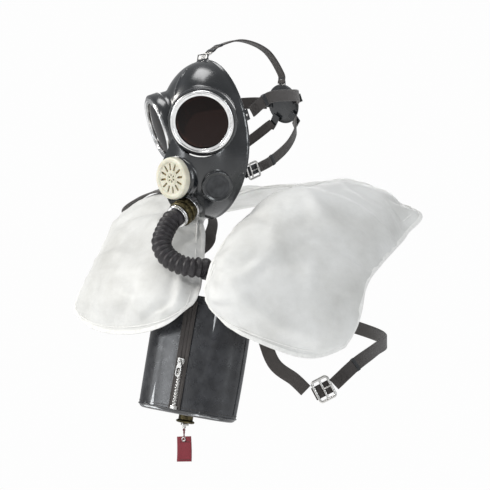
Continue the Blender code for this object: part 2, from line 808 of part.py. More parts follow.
def relief_valve():
    place = valve_frame()
    seat = [
        (0.0070, 0.0050),
        (0.0090, 0.0050),
        (0.0090, 0.0030),
        (0.0225, 0.0030),
        (0.0225, 0.0000),
        (0.0070, 0.0000),
    ]
    turned("relief_valve_seat", seat, "aluminium", place)
    disc = [(0, 0.0068), (0.0105, 0.0068), (0.0110, 0.0063), (0.0110, 0.0053), (0, 0.0053)]
    turned("relief_valve_disc", disc, "membrane", place)
    coil("relief_valve_spring", 0.0060, 0.0004, 0.0071, 0.0140, 3, "steel", place, 10)
    cap = [
        (0, 0.0165),
        (0.0150, 0.0165),
        (0.0165, 0.0150),
        (0.0165, 0.0033),
        (0.0145, 0.0033),
        (0.0145, 0.0143),
        (0, 0.0143),
    ]
    made = turned("relief_valve_cap", cap, "aluminium", place)
    vents = []
    for k in range(6):
        angle = 2 * math.pi * k / 6
        spot = Matrix.Translation((0.0105 * math.cos(angle), 0.0105 * math.sin(angle), 0))
        vents.append(rod(f"vent_{k}", 0.0018, 0.010, 0.020, place @ spot, None, 6))
    subtract(made, vents)


# ---------------------------------------------------------------- manifold and hose


def manifold_top():
    """Row-frame point on the manifold's axis, this high above the cartridge's lid."""
    return CASE_FRAME @ Vector((NECK_X, 0, CASE_HEIGHT / 2))


CASE_UP = (CASE_FRAME.to_3x3() @ Vector((0, 0, 1))).normalized()
HOSE_PORT = manifold_top() + CASE_UP * 0.040
BAG_PORT = manifold_top() + CASE_UP * 0.014


def manifold():
    neck = frame_along(manifold_top(), CASE_UP)
    body = [
        (0, 0.0580),
        (0.0190, 0.0580),
        (0.0215, 0.0550),
        (0.0215, 0.0000),
        (0.0160, -0.0012),
        (0.0160, -0.0100),
        (0, -0.0100),
    ]
    made = turned("manifold", body, "black_rubber", neck, 28)
    hose_axis = frame_along(HOSE_PORT, HOSE_PORT_DIRECTION)
    bag_axis = frame_along(BAG_PORT, BAG_PORT_DIRECTION)
    hose_stub = rod("hose_stub", 0.0128, 0.010, 0.0325, hose_axis)
    bag_stub = rod("bag_stub", 0.0100, 0.010, 0.0420, bag_axis)
    join(made, [hose_stub, bag_stub])
    subtract(
        made,
        [
            rod("bore", 0.0125, -0.020, 0.050, neck),
            rod("hose_way", 0.0100, 0.0, 0.050, hose_axis),
            rod("bag_way", 0.0080, 0.0, 0.060, bag_axis),
        ],
    )
    ring("hose_ring_lower", 0.0175, 0.0131, 0.0255, 0.0318, "rim_metal", hose_axis)
    ring("bag_port_ring", 0.0135, 0.0103, 0.0330, 0.0395, "rim_metal", bag_axis)


def hose():
    """The hose's own ends are straight for a few millimetres, square to their fittings."""
    start = SPOUT_FRAME @ Vector((0, 0, 0.0515))
    away = (SPOUT_FRAME.to_3x3() @ Vector((0, 0, 1))).normalized()
    end = HOSE_PORT + HOSE_PORT_DIRECTION * 0.0328
    first = start + away * 0.005
    last = end + HOSE_PORT_DIRECTION * 0.005
    bend = [first, first + away * 0.012, *HOSE_ROUTE, last + HOSE_PORT_DIRECTION * 0.006, last]
    path = [start, *smooth_path(bend, 3), end]
    return tube("corrugated_hose", path, HOSE_DIAMETER / 2, "hose_rubber")


# ---------------------------------------------------------------- cartridge and case


def cartridge():
    half = CASE_HEIGHT / 2
    inner_w = CASE_WIDTH - 2 * CASE_WALL - 0.001
    inner_d = CASE_DEPTH - 2 * CASE_WALL - 0.001
    floor = -half + CASE_WALL + 0.0005
    rim = half - 0.008
    shell = oval_slab("cartridge_shell", inner_w, inner_d, floor, rim, "aluminium", CASE_FRAME)
    hollow_w = inner_w - 2 * SHELL_WALL
    hollow_d = inner_d - 2 * SHELL_WALL
    inside = floor + SHELL_WALL
    hollow = oval_slab("hollow", hollow_w, hollow_d, inside, rim + 0.01, None, CASE_FRAME, CUTTERS)
    subtract(shell, [hollow, rod("starter_way", 0.0113, floor - 0.01, floor + 0.01, CASE_FRAME)])

    lid = oval_slab("cartridge_lid", inner_w, inner_d, rim + GAP, rim + 0.0050, "aluminium", CASE_FRAME)
    neck = CASE_FRAME @ Matrix.Translation((NECK_X, 0, 0))
    subtract(lid, [rod("neck_hole", 0.0163, rim - 0.01, rim + 0.02, neck)])

    fit_w = hollow_w - 0.002
    fit_d = hollow_d - 0.002
    layers = [
        ("lower_grid", inside + 0.0150, inside + 0.0163, "steel"),
        ("lower_filter_pad", inside + 0.0166, inside + 0.0210, "filter_felt"),
        ("chemical_bed", inside + 0.0213, inside + 0.1420, "granules"),
        ("upper_filter_pad", inside + 0.1423, inside + 0.1465, "filter_felt"),
        ("upper_grid", inside + 0.1468, inside + 0.1481, "steel"),
    ]
    for name, low, high, skin in layers:
        slab = oval_slab(name, fit_w, fit_d, low, high, skin, CASE_FRAME)
        if name == "upper_filter_pad":
            continue
        if name == "upper_grid":
            cuts = grid_holes(low, high)
        elif name == "chemical_bed":
            cuts = [rod("charge_way", 0.0125, low - 0.001, low + 0.030, CASE_FRAME)]
        else:
            cuts = [rod("charge_way", 0.0125, low - 0.01, high + 0.01, CASE_FRAME)]
            if name == "lower_grid":
                cuts += grid_holes(low, high, 0.022)
        subtract(slab, cuts)
    coil("bed_spring", 0.0260, 0.0011, inside + 0.0002, inside + 0.0147, 2, "steel", CASE_FRAME, 16)


def grid_holes(low, high, keep_clear=0.0):
    """Cutters for the gas holes of a grid, outside a clear radius at its centre."""
    cuts = []
    for i in range(-2, 3):
        for j in (-1, 0, 1):
            x, y = i * 0.026, j * 0.019
            if math.hypot(x, y) < keep_clear:
                continue
            spot = CASE_FRAME @ Matrix.Translation((x, y, 0))
            cuts.append(rod(f"gas_{i}_{j}", 0.0040, low - 0.005, high + 0.005, spot, None, 6))
    return cuts


def starter():
    floor = -CASE_HEIGHT / 2
    body = [
        (0.0030, floor + 0.0140),
        (0.0110, floor + 0.0140),
        (0.0110, floor - 0.0085),
        (0.0140, floor - 0.0085),
        (0.0140, floor - 0.0125),
        (0.0030, floor - 0.0125),
    ]
    turned("starter_body", body, "brass", CASE_FRAME, 24)
    charge = [
        (0, floor + 0.0500),
        (0.0110, floor + 0.0500),
        (0.0120, floor + 0.0490),
        (0.0120, floor + 0.0143),
        (0, floor + 0.0143),
    ]
    turned("starter_charge", charge, "membrane", CASE_FRAME, 20)
    pin = [
        (0, floor + 0.0120),
        (0.0020, floor + 0.0110),
        (0.0020, floor - 0.0130),
        (0.0060, floor - 0.0132),
        (0.0060, floor - 0.0160),
        (0.0025, floor - 0.0165),
        (0.0018, floor - 0.0210),
        (0, floor - 0.0210),
    ]
    turned("starter_pin", pin, "steel", CASE_FRAME, 16)
    top = CASE_FRAME @ Vector((0, 0, floor - 0.0215))
    drop = Vector((0, 0, -1))
    face = Vector((0, -1, 0))
    cord = [(top + drop * 0.0003, face), (top + drop * 0.012, face)]
    strap("starter_cord", cord, 0.006, 0.0016, "webbing", None, 2)
    tag = [(top + drop * 0.0126, face), (top + drop * 0.050, face)]
    strap("pull_tag", tag, 0.024, 0.0026, "red_tag", None, 1)
    hang_on("starter_axis", CASE_FRAME, ["starter_pin", "starter_cord", "pull_tag"])


def case():
    half = CASE_HEIGHT / 2
    levels = [(-half, 0.008), (-half + 0.0015, 0.0025), (-half + 0.005, 0.0), (half, 0.0)]
    rings = []
    for height, inset in levels:
        outline = obround(CASE_WIDTH - inset, CASE_DEPTH - inset, 10)
        rings.append([(x, y, height) for x, y in outline])
    body = loft("case_body", rings, "leatherette", CASE_FRAME)
    inner_w = CASE_WIDTH - 2 * CASE_WALL
    inner_d = CASE_DEPTH - 2 * CASE_WALL
    room = oval_slab("room", inner_w, inner_d, -half + CASE_WALL, half + 0.01, None, CASE_FRAME, CUTTERS)
    subtract(body, [room, rod("starter_hole", 0.0118, -half - 0.01, -half + 0.01, CASE_FRAME)])

    face = CASE_FRAME @ Matrix.Translation((0, -CASE_DEPTH / 2, 0))
    box("fastener_tape", (0.020, 0.0012, 0.166), (0, -0.0009, -0.001), "webbing", face)
    box("fastener_teeth", (0.0052, 0.0012, 0.062), (0, -0.0024, -0.052), "steel", face)
    box("fastener_slider", (0.0105, 0.0042, 0.0110), (0, -0.0042, -0.0120), "steel", face)
    hinge = face @ Matrix.Translation((0, -0.0076, -0.0115))
    pull = [(Vector((0, 0, 0)), Vector((0, -1, 0))), (Vector((0, 0, -0.0225)), Vector((0, -1, 0)))]
    strap("fastener_pull", pull, 0.0065, 0.0014, "steel", hinge, 1)


def box(name, size, centre, skin, placed):
    mesh = bpy.data.meshes.new(name)
    work = bmesh.new()
    bmesh.ops.create_cube(work, size=1)
    bmesh.ops.scale(work, vec=size, verts=work.verts)
    bmesh.ops.translate(work, vec=centre, verts=work.verts)
    bmesh.ops.bevel(work, geom=work.edges, offset=min(size) * 0.2, segments=1, affect="EDGES")
    work.to_mesh(mesh)
    work.free()
    return settle(add(name, mesh, skin, placed))


# ---------------------------------------------------------------- carrying strap


def carrying_strap():
    """Case rings, the sling over the right shoulder and under the left arm, and its buckle."""
    half = CASE_HEIGHT / 2
    for side, label in ((1, "left"), (-1, "right")):
        centre = CASE_FRAME @ Vector((side * (CASE_WIDTH / 2 + 0.0065), 0, half - 0.028))
        place = Matrix.Translation(centre) @ Matrix.Rotation(CASE_LEAN, 4, "Y")
        outline = rounded_frame(0.0045, 0.0130, 0.003, 2)
        tube(f"case_ring_{label}", outline, 0.0014, "steel", place, 1, True)
    left_ring = CASE_FRAME @ Vector((CASE_WIDTH / 2 + 0.0194, 0, half - 0.028))
    above_right_ring = CASE_FRAME @ Vector((-CASE_WIDTH / 2 - 0.0065, 0, half - 0.0125))
    strap(
        "chest_strap",
        [
            (left_ring, Vector((0.3, -1, 0))),
            (Vector((0.108, -0.146, -0.250)), Vector((0.3, -1, 0))),
            (Vector((0.138, -0.136, -0.276)), Vector((0.4, -1, 0))),
            (Vector((0.1525, -0.1268, -0.2925)), Vector((0.5, -1, 0))),
        ],
        0.020,
        0.0026,
        "webbing",
    )
    sling = [
        (Vector((0.188, -0.104, -0.283)), Vector((0.6, -1, 0))),
        (Vector((0.206, -0.070, -0.252)), Vector((0.8, -0.8, 0))),
        (Vector((0.210, -0.010, -0.225)), Vector((1, -0.1, 0))),
        (Vector((0.192, 0.060, -0.205)), Vector((1, 0.6, 0))),
        (Vector((0.120, 0.112, -0.180)), Vector((0.3, 1, 0))),
        (Vector((0.000, 0.128, -0.145)), Vector((0, 1, 0.1))),
        (Vector((-0.120, 0.134, -0.095)), Vector((-0.2, 1, 0.1))),
        (Vector((-0.205, 0.128, -0.045)), Vector((-0.6, 1, 0.3))),
        (Vector((-0.248, 0.096, 0.000)), Vector((-1, 0.6, 0.6))),
    ]
    for v in (0.97, 0.8, 0.6, 0.4, 0.2, 0.05):
        normal = bag_normal(SLING_U, v)
        lift = bag_half_thickness(SLING_U, v) + 0.0042
        sling.append((bag_point(SLING_U, v) + normal * lift, normal))
    sling += [
        (Vector((-0.0480, -0.0545, -0.018)), Vector((0.9, -0.2, 0.3))),
        (Vector((-0.0480, -0.0600, -0.038)), Vector((0.9, -0.4, 0.1))),
        (Vector((-0.052, -0.070, -0.058)), Vector((0.5, -1, 0.2))),
        (Vector((-0.072, -0.102, -0.088)), Vector((-0.5, -1, 0.3))),
        (Vector((-0.096, -0.132, -0.118)), Vector((-1, -0.6, 0.2))),
        (above_right_ring, Vector((-1, 0, 0))),
    ]
    strap("shoulder_sling", sling, 0.020, 0.0026, "webbing")


def strap_buckle():
    face = Vector((0.5, -1, 0)).normalized()
    along = Vector((0.6, 0.30, 0.35)).normalized()
    across = along.cross(face).normalized()
    face = across.cross(along).normalized()
    basis = Matrix((along, face, across)).transposed().to_4x4()
    place = Matrix.Translation(Vector((0.1765, -0.1155, -0.2905))) @ basis
    outline = rounded_frame(0.0125, 0.0165, 0.004)
    frame = tube("sling_buckle", outline, 0.0018, "steel", place, 1, True)
    bar = tube("bar", [Vector((0, 0, -0.0165)), Vector((0, 0, 0.0165))], 0.0016, None, place, 1)
    join(frame, [bar])
    tongue = [Vector((0.0030, 0.0036, 0)), Vector((0.0140, 0.0036, 0))]
    tube("sling_buckle_tongue", tongue, 0.0012, "steel", place, 1)


def main():
    clear_scene()
    facepiece()
    face_seal()
    lenses()
    speech_unit()
    coupling()
    head_harness()
    head_buckles()
    mask_pieces = [made.name for made in bpy.data.collections[PARTS].objects]
    hang_on("mask_turn_axis", Matrix.Identity(4), mask_pieces)
    breathing_bag()
    relief_valve()
    manifold()
    hose()
    cartridge()
    starter()
    case()
    carrying_strap()
    strap_buckle()


main()
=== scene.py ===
"""The looks of a closed-circuit escape breathing set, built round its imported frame.

Metres, +Z up. The origin is the centre of the bag's neck opening. The wearer faces -Y,
and the wearer's left is +X.
"""

import math

import bmesh
import bpy
from mathutils import Matrix, Vector, noise


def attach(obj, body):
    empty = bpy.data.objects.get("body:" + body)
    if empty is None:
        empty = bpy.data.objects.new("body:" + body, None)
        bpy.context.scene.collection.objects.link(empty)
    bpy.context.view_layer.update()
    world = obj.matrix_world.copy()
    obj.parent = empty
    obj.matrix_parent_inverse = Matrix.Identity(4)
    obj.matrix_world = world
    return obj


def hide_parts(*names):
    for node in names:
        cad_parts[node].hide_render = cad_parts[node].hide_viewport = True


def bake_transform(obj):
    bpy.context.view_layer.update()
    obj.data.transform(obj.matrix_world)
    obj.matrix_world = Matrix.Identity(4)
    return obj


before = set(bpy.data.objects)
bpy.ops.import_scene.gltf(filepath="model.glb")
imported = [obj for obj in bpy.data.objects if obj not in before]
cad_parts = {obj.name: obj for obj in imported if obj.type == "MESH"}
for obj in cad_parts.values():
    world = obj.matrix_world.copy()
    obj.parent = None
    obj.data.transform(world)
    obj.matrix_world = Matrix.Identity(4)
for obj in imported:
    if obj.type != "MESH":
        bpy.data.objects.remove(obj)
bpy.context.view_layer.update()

# ---------------------------------------------------------------- driving sizes

MASK_ORIGIN = Vector((-0.0285, -0.106, 0.126))
MASK_YAW = math.radians(-15)
MASK_NOD = math.radians(10)
RUBBER = 0.003
FINE_VOXEL = 0.0013
FACE_FRONT_Y = -0.080
FACE_FRONT_Z = -0.045
RIM_CENTRE_Z = -0.020
RIM_HALF_WIDTH = 0.073
RIM_UP = 0.115
RIM_DOWN = 0.126

LENS_X = 0.046
LENS_Y = -0.058
LENS_SPLAY = math.radians(33)
LENS_TILT = math.radians(12)
LENS_RIM_RADIUS = 0.0485
LENS_HOLE_RADIUS = 0.0405
LENS_RADIUS = 0.0425
LENS_RINGS = 12
LENS_BULGE = 0.0026

VOICE_Z = -0.079
VOICE_FRONT_Y = -0.094
VOICE_RADIUS = 0.032

SPOUT_BASE = Vector((0, -0.045, -0.118))
SPOUT_AXIS = Vector((0, -0.917, -0.4)).normalized()
HOSE_DIAMETER = 0.031
HOSE_PITCH = 0.0092
HOSE_GROOVE = 0.0031
HOSE_CUFF = 0.011
HOSE_STEP = 0.00075

CASE_CENTRE = Vector((-0.0218, -0.150, -0.2357))
CASE_LEAN = math.radians(11)
CASE_WIDTH = 0.160
CASE_DEPTH = 0.076
CASE_HEIGHT = 0.180
CASE_WALL = 0.002
RING_DROP = 0.028
NECK_X = 0.048

HOSE_PORT_DIRECTION = Vector((-0.6, -0.8, 0))
HOSE_ROUTE = [
    (-0.0490, -0.2080, -0.0660), (-0.0380, -0.2150, -0.0870), (-0.0190, -0.2160, -0.1010),
    (0.0010, -0.2090, -0.1080), (0.0170, -0.1960, -0.1085),
]

# Collar bag: inner edge, middle and outer edge of sections from the left chest to the right.
BAG_SECTIONS = [
    ((0.050, -0.213, -0.190), (0.118, -0.206, -0.226), (0.205, -0.148, -0.262)),
    ((0.029, -0.213, -0.150), (0.125, -0.214, -0.175), (0.230, -0.112, -0.200)),
    ((0.038, -0.210, -0.107), (0.128, -0.198, -0.118), (0.231, -0.080, -0.135)),
    ((0.036, -0.150, -0.054), (0.128, -0.135, -0.050), (0.229, -0.030, -0.100)),
    ((0.040, -0.095, -0.024), (0.130, -0.062, 0.005), (0.227, 0.020, -0.072)),
    ((0.064, -0.015, -0.006), (0.132, 0.010, 0.025), (0.222, 0.075, -0.042)),
    ((0.058, 0.042, 0.030), (0.120, 0.072, 0.038), (0.214, 0.120, 0.000)),
    ((0.000, 0.072, 0.046), (0.000, 0.108, 0.048), (0.000, 0.146, 0.032)),
    ((-0.058, 0.042, 0.032), (-0.125, 0.072, 0.042), (-0.222, 0.110, 0.006)),
    ((-0.066, -0.015, 0.000), (-0.145, 0.010, 0.036), (-0.240, 0.050, 0.006)),
    ((-0.050, -0.080, -0.022), (-0.150, -0.040, 0.016), (-0.246, -0.005, 0.000)),
    ((-0.022, -0.125, -0.050), (-0.140, -0.105, -0.028), (-0.247, -0.055, -0.050)),
    ((-0.004, -0.161, -0.097), (-0.118, -0.160, -0.085), (-0.248, -0.090, -0.095)),
    ((0.009, -0.198, -0.148), (-0.105, -0.199, -0.148), (-0.253, -0.122, -0.140)),
    ((-0.008, -0.207, -0.176), (-0.095, -0.208, -0.203), (-0.236, -0.148, -0.180)),
]
BAG_THICKNESS = 0.018
BAG_SEAM = 0.0024
BAG_CORNER = 0.036
BAG_ALONG = 150
BAG_ACROSS = 36
HEM_WIDTH = 0.011
HEM_HALF = BAG_SEAM * 0.35
RISE_WIDTH = 0.055

SLING_U = 0.685
VALVE_U = 0.83
VALVE_V = 0.45

ROOT = "bag_and_cartridge"
MASK = "mask"
SIDES = ((1, "left"), (-1, "right"))


def frame_along(origin, axis, up=Vector((0, 0, 1))):
    """A matrix whose +Z lies along axis, with +X square to axis and up."""
    z = Vector(axis).normalized()
    x = Vector(up).cross(z)
    if x.length < 1e-4:
        x = Vector((1, 0, 0))
    x.normalize()
    y = z.cross(x)
    turned_axes = Matrix((x, y, z)).transposed().to_4x4()
    return Matrix.Translation(Vector(origin)) @ turned_axes


MASK_FRAME = (
    Matrix.Translation(MASK_ORIGIN)
    @ Matrix.Rotation(MASK_YAW, 4, "Z")
    @ Matrix.Rotation(MASK_NOD, 4, "X")
)
CASE_FRAME = Matrix.Translation(CASE_CENTRE) @ Matrix.Rotation(CASE_LEAN, 4, "Y")
SPOUT_FRAME = MASK_FRAME @ frame_along(SPOUT_BASE, SPOUT_AXIS)
CASE_TOP = CASE_HEIGHT / 2
CASE_UP = (CASE_FRAME.to_3x3() @ Vector((0, 0, 1))).normalized()
NECK_TOP = CASE_FRAME @ Vector((NECK_X, 0, CASE_TOP))
HOSE_PORT = NECK_TOP + CASE_UP * 0.040


def place_along(origin, along, face):
    """A matrix with +X along a strap and +Y out of its face."""
    across = along.cross(face).normalized()
    face = across.cross(along).normalized()
    return Matrix.Translation(Vector(origin)) @ Matrix((along, face, across)).transposed().to_4x4()


def lens_frame(side):
    normal = Vector(
        (
            side * math.sin(LENS_SPLAY) * math.cos(LENS_TILT),
            -math.cos(LENS_SPLAY) * math.cos(LENS_TILT),
            -math.sin(LENS_TILT),
        )
    )
    return frame_along((side * LENS_X, LENS_Y, 0), normal)


# ---------------------------------------------------------------- materials


class Shader:
    """One procedural material: a Principled shader with a few helpers for its nodes."""

    def __init__(self, name, colour, roughness, metallic=0.0):
        self.material = bpy.data.materials.new(name)
        self.material.use_nodes = True
        self.tree = self.material.node_tree
        self.base = self.tree.nodes["Principled BSDF"]
        self.base.inputs["Base Color"].default_value = (*colour, 1)
        self.base.inputs["Roughness"].default_value = roughness
        self.base.inputs["Metallic"].default_value = metallic
        self.coords = self.tree.nodes.new("ShaderNodeTexCoord")

    def set(self, **sockets):
        for name, value in sockets.items():
            self.base.inputs[name.replace("_", " ")].default_value = value
        return self

    def link(self, source, target):
        self.tree.links.new(source, target)

    def place(self, scale, uv=False):
        """Texture coordinates in metres, times scale."""
        mapping = self.tree.nodes.new("ShaderNodeMapping")
        mapping.inputs["Scale"].default_value = scale
        self.link(self.coords.outputs["UV" if uv else "Object"], mapping.inputs["Vector"])
        return mapping.outputs["Vector"]

    def noise(self, scale, detail=4.0, roughness=0.55, stretch=(1, 1, 1), uv=False):
        made = self.tree.nodes.new("ShaderNodeTexNoise")
        made.inputs["Scale"].default_value = scale
        made.inputs["Detail"].default_value = detail
        made.inputs["Roughness"].default_value = roughness
        self.link(self.place(stretch, uv), made.inputs["Vector"])
        return made.outputs["Fac"]

    def cells(self, scale, feature="F1", stretch=(1, 1, 1)):
        made = self.tree.nodes.new("ShaderNodeTexVoronoi")
        made.feature = feature
        made.inputs["Scale"].default_value = scale
        self.link(self.place(stretch), made.inputs["Vector"])
        return made.outputs["Distance"]

    def stripes(self, scale, direction="X", uv=True, distortion=0.0):
        made = self.tree.nodes.new("ShaderNodeTexWave")
        made.bands_direction = direction
        made.inputs["Scale"].default_value = scale
        made.inputs["Distortion"].default_value = distortion
        self.link(self.place((1, 1, 1), uv), made.inputs["Vector"])
        return made.outputs["Fac"]

    def ramp(self, factor, low, high, start=0.0, end=1.0):
        """Remap a factor between two colours, or two grey values."""
        made = self.tree.nodes.new("ShaderNodeValToRGB")
        made.color_ramp.elements[0].position = start
        made.color_ramp.elements[1].position = end
        for element, value in zip(made.color_ramp.elements, (low, high)):
            value = (value, value, value) if isinstance(value, (int, float)) else value
            element.color = (*value, 1)
        self.link(factor, made.inputs["Fac"])
        return made.outputs["Color"]

    def mix(self, factor, first, second, blend="MIX"):
        made = self.tree.nodes.new("ShaderNodeMix")
        made.data_type = "RGBA"
        made.blend_type = blend
        for socket, value in ((made.inputs[0], factor), (made.inputs[6], first), (made.inputs[7], second)):
            if isinstance(value, bpy.types.NodeSocket):
                self.link(value, socket)
            elif isinstance(value, (int, float)):
                socket.default_value = value
            else:
                socket.default_value = (*value, 1)
        return made.outputs[2]

    def maths(self, operation, first, second):
        made = self.tree.nodes.new("ShaderNodeMath")
        made.operation = operation
        for socket, value in zip(made.inputs, (first, second)):
            if isinstance(value, bpy.types.NodeSocket):
                self.link(value, socket)
            else:
                socket.default_value = value
        return made.outputs[0]

    def colour(self, source):
        self.link(source, self.base.inputs["Base Color"])
        return self

    def roughness(self, factor, low, high, start=0.0, end=1.0):
        self.link(self.ramp(factor, low, high, start, end), self.base.inputs["Roughness"])
        return self

    def bump(self, height, strength, distance):
        made = self.tree.nodes.new("ShaderNodeBump")
        made.inputs["Strength"].default_value = strength
        made.inputs["Distance"].default_value = distance
        self.link(height, made.inputs["Height"])
        previous = self.base.inputs["Normal"].links
        if previous:
            self.link(previous[0].from_socket, made.inputs["Normal"])
        self.link(made.outputs["Normal"], self.base.inputs["Normal"])
        return self


def mask_rubber():
    made = Shader("moulded_rubber", (0.018, 0.019, 0.021), 0.3)
    dust = made.noise(26, 6)
    made.colour(made.ramp(dust, (0.009, 0.011, 0.013), (0.034, 0.037, 0.041), 0.42, 0.88))
    made.roughness(made.noise(60, 5), 0.15, 0.34, 0.35, 0.78)
    made.bump(made.noise(900, 3), 0.10, 0.0003)
    made.bump(made.noise(70, 2), 0.12, 0.0012)
    return made.set(Coat_Weight=0.9, Coat_Roughness=0.2).material


def matt_rubber():
    made = Shader("matt_rubber", (0.035, 0.037, 0.040), 0.6)
    made.colour(made.ramp(made.noise(80, 6), (0.022, 0.023, 0.025), (0.070, 0.073, 0.078), 0.35, 0.8))
    made.roughness(made.noise(150, 4), 0.5, 0.75)
    made.bump(made.noise(1300, 3), 0.2, 0.0003)
    return made.material


def hose_rubber():
    made = Shader("hose_rubber", (0.030, 0.026, 0.030), 0.45)
    dust = made.noise(55, 6)
    made.colour(made.ramp(dust, (0.012, 0.010, 0.012), (0.042, 0.037, 0.042), 0.40, 0.88))
    made.roughness(made.noise(120, 5), 0.32, 0.6)
    made.bump(made.noise(1500, 2), 0.12, 0.0003)
    return made.material


def bright_metal(name, colour, roughness, turned_marks=True):
    """Polished or brushed metal, with fine scratches and faint staining."""
    made = Shader(name, colour, roughness, 1.0)
    stain = made.noise(90, 6)
    darker = tuple(c * 0.72 for c in colour)
    made.colour(made.ramp(stain, darker, colour, 0.25, 0.6))
    made.roughness(made.noise(240, 4), roughness * 0.7, roughness * 1.5, 0.3, 0.75)
    if turned_marks:
        made.bump(made.noise(700, 3, stretch=(1, 1, 6)), 0.08, 0.0002)
    return made.material


def worn_brass():
    made = Shader("dark_brass", (0.16, 0.13, 0.06), 0.4, 1.0)
    wear = made.noise(160, 6)
    made.colour(made.ramp(wear, (0.040, 0.036, 0.020), (0.20, 0.165, 0.085), 0.38, 0.75))
    made.roughness(made.noise(300, 4), 0.28, 0.6)
    made.bump(made.noise(900, 3), 0.10, 0.0002)
    return made.material


def eye_glass():
    # The dark reddish-brown colour is painted shade and painted reflection: it stands in for the shaded
    # face seen through the glass and a reddish reflection on it.
    made = Shader("glass_with_painted_shade", (0.030, 0.011, 0.008), 0.03)
    made.roughness(made.noise(35, 5), 0.015, 0.07, 0.45, 0.8)
    return made.set(Transmission_Weight=0.9, IOR=1.28).material


def ivory():
    made = Shader("ivory_plastic", (0.60, 0.55, 0.43), 0.42)
    yellowing = made.noise(70, 5)
    made.colour(made.ramp(yellowing, (0.54, 0.49, 0.37), (0.76, 0.72, 0.60), 0.25, 0.65))
    made.roughness(made.noise(260, 4), 0.32, 0.52)
    made.bump(made.noise(1400, 3), 0.10, 0.0002)
    return made.set(Subsurface_Weight=0.08).material


def webbing(name="webbing", dark=(0.022, 0.019, 0.018), light=(0.088, 0.076, 0.070)):
    """Woven tape: ribs across its length and warp ends along it, in metres of its own UV."""
    made = Shader(name, dark, 0.85)
    picks = made.stripes(290, "X")
    ends = made.stripes(210, "Y")
    weave = made.maths("MULTIPLY", picks, ends)
    fuzz = made.noise(1600, 4, uv=True)
    tone = made.mix(0.45, weave, fuzz)
    made.colour(made.ramp(tone, dark, light, 0.12, 0.75))
    made.roughness(fuzz, 0.75, 0.95)
    made.bump(weave, 0.6, 0.0005)
    made.bump(fuzz, 0.25, 0.0003)
    return made.set(Sheen_Weight=0.35, Sheen_Roughness=0.5).material


def coated_cloth():
    """Rubber-coated bag cloth: a faint plain weave under a satin coat, slightly soiled."""
    made = Shader("coated_cloth", (0.74, 0.75, 0.74), 0.5)
    warp = made.stripes(330, "X")
    weft = made.stripes(330, "Y")
    weave = made.maths("MULTIPLY", warp, weft)
    soil = made.noise(9, 7, 0.62)
    colour = made.ramp(soil, (0.60, 0.60, 0.575), (0.81, 0.815, 0.80), 0.28, 0.60)
    shade = made.ramp(weave, 0.90, 1.0)
    made.colour(made.mix(1.0, colour, shade, "MULTIPLY"))
    made.roughness(made.noise(45, 5), 0.40, 0.62)
    made.bump(weave, 0.22, 0.0003)
    made.bump(made.noise(120, 5, 0.6), 0.22, 0.0011)
    made.bump(made.noise(34, 4), 0.28, 0.0034)
    return made.set(Sheen_Weight=0.12, Sheen_Roughness=0.4).material


def leatherette():
    """Glossy grained case cloth, with creases and a few rubbed spots."""
    made = Shader("leatherette", (0.018, 0.020, 0.024), 0.28)
    grain = made.cells(620, "F1")
    pores = made.cells(330, "SMOOTH_F1")
    rubbed = made.noise(40, 6)
    made.colour(made.ramp(rubbed, (0.011, 0.012, 0.015), (0.048, 0.051, 0.058), 0.45, 0.88))
    made.roughness(made.noise(95, 5), 0.22, 0.45, 0.3, 0.75)
    made.bump(grain, 0.22, 0.0004)
    made.bump(pores, 0.15, 0.0005)
    made.bump(made.noise(26, 4, 0.6), 0.3, 0.0030)
    return made.set(Coat_Weight=0.5, Coat_Roughness=0.2).material


def plain(name, colour, roughness, metallic=0.0, grain=300, depth=0.0004, spread=0.25):
    """A pale inner material with a little colour variation and grain."""
    made = Shader(name, colour, roughness, metallic)
    darker = tuple(c * (1 - spread) for c in colour)
    lighter = tuple(min(c * (1 + spread), 1) for c in colour)
    made.colour(made.ramp(made.noise(grain / 4, 5), darker, lighter, 0.3, 0.7))
    made.roughness(made.noise(grain / 2, 4), roughness * 0.85, min(roughness * 1.15, 1))
    made.bump(made.noise(grain, 4), 0.4, depth)
    return made.material


def granules():
    made = Shader("granules", (0.70, 0.62, 0.35), 0.9)
    made.colour(made.ramp(made.cells(260), (0.78, 0.70, 0.42), (0.45, 0.38, 0.20), 0.1, 0.6))
    made.bump(made.cells(260), 1.0, 0.002)
    return made.material


SKINS = {
    "rubber": mask_rubber(),
    "matt_rubber": matt_rubber(),
    "hose": hose_rubber(),
    "rim": bright_metal("polished_aluminium", (0.86, 0.86, 0.86), 0.2),
    "steel": bright_metal("nickelled_steel", (0.66, 0.65, 0.63), 0.24),
    "brass": worn_brass(),
    "glass": eye_glass(),
    "ivory": ivory(),
    "webbing": webbing(),
    "thread": plain("thread", (0.055, 0.050, 0.047), 0.8, grain=1500),
    "pale_thread": plain("pale_thread", (0.55, 0.55, 0.53), 0.8, grain=1500),
    "cloth": coated_cloth(),
    "tape": plain("seam_tape", (0.80, 0.80, 0.78), 0.55, grain=700, spread=0.08),
    "leatherette": leatherette(),
    "aluminium": bright_metal("pressed_aluminium", (0.55, 0.56, 0.57), 0.38),
    "granules": granules(),
    "felt": plain("felt", (0.78, 0.76, 0.70), 0.95, grain=900, depth=0.0012, spread=0.1),
    "amber": plain("amber_film", (0.50, 0.38, 0.18), 0.4, grain=500),
    "red": webbing("red_tape", (0.12, 0.006, 0.014), (0.34, 0.020, 0.040)),
}


# ---------------------------------------------------------------- mesh helpers


def piece(name, mesh, skin, body, stands_for=(), placed=None):
    """Put a mesh in the scene with its skin, on its body."""
    made = bpy.data.objects.new(name, mesh)
    bpy.context.scene.collection.objects.link(made)
    mesh.materials.clear()
    mesh.materials.append(SKINS[skin])
    made.matrix_world = placed or Matrix.Identity(4)
    bpy.context.view_layer.update()
    if body:
        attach(made, body)
    if stands_for:
        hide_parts(*stands_for)
    return made


def smooth(mesh, degrees=40):
    mesh.shade_smooth()
    mesh.set_sharp_from_angle(angle=math.radians(degrees))
    return mesh


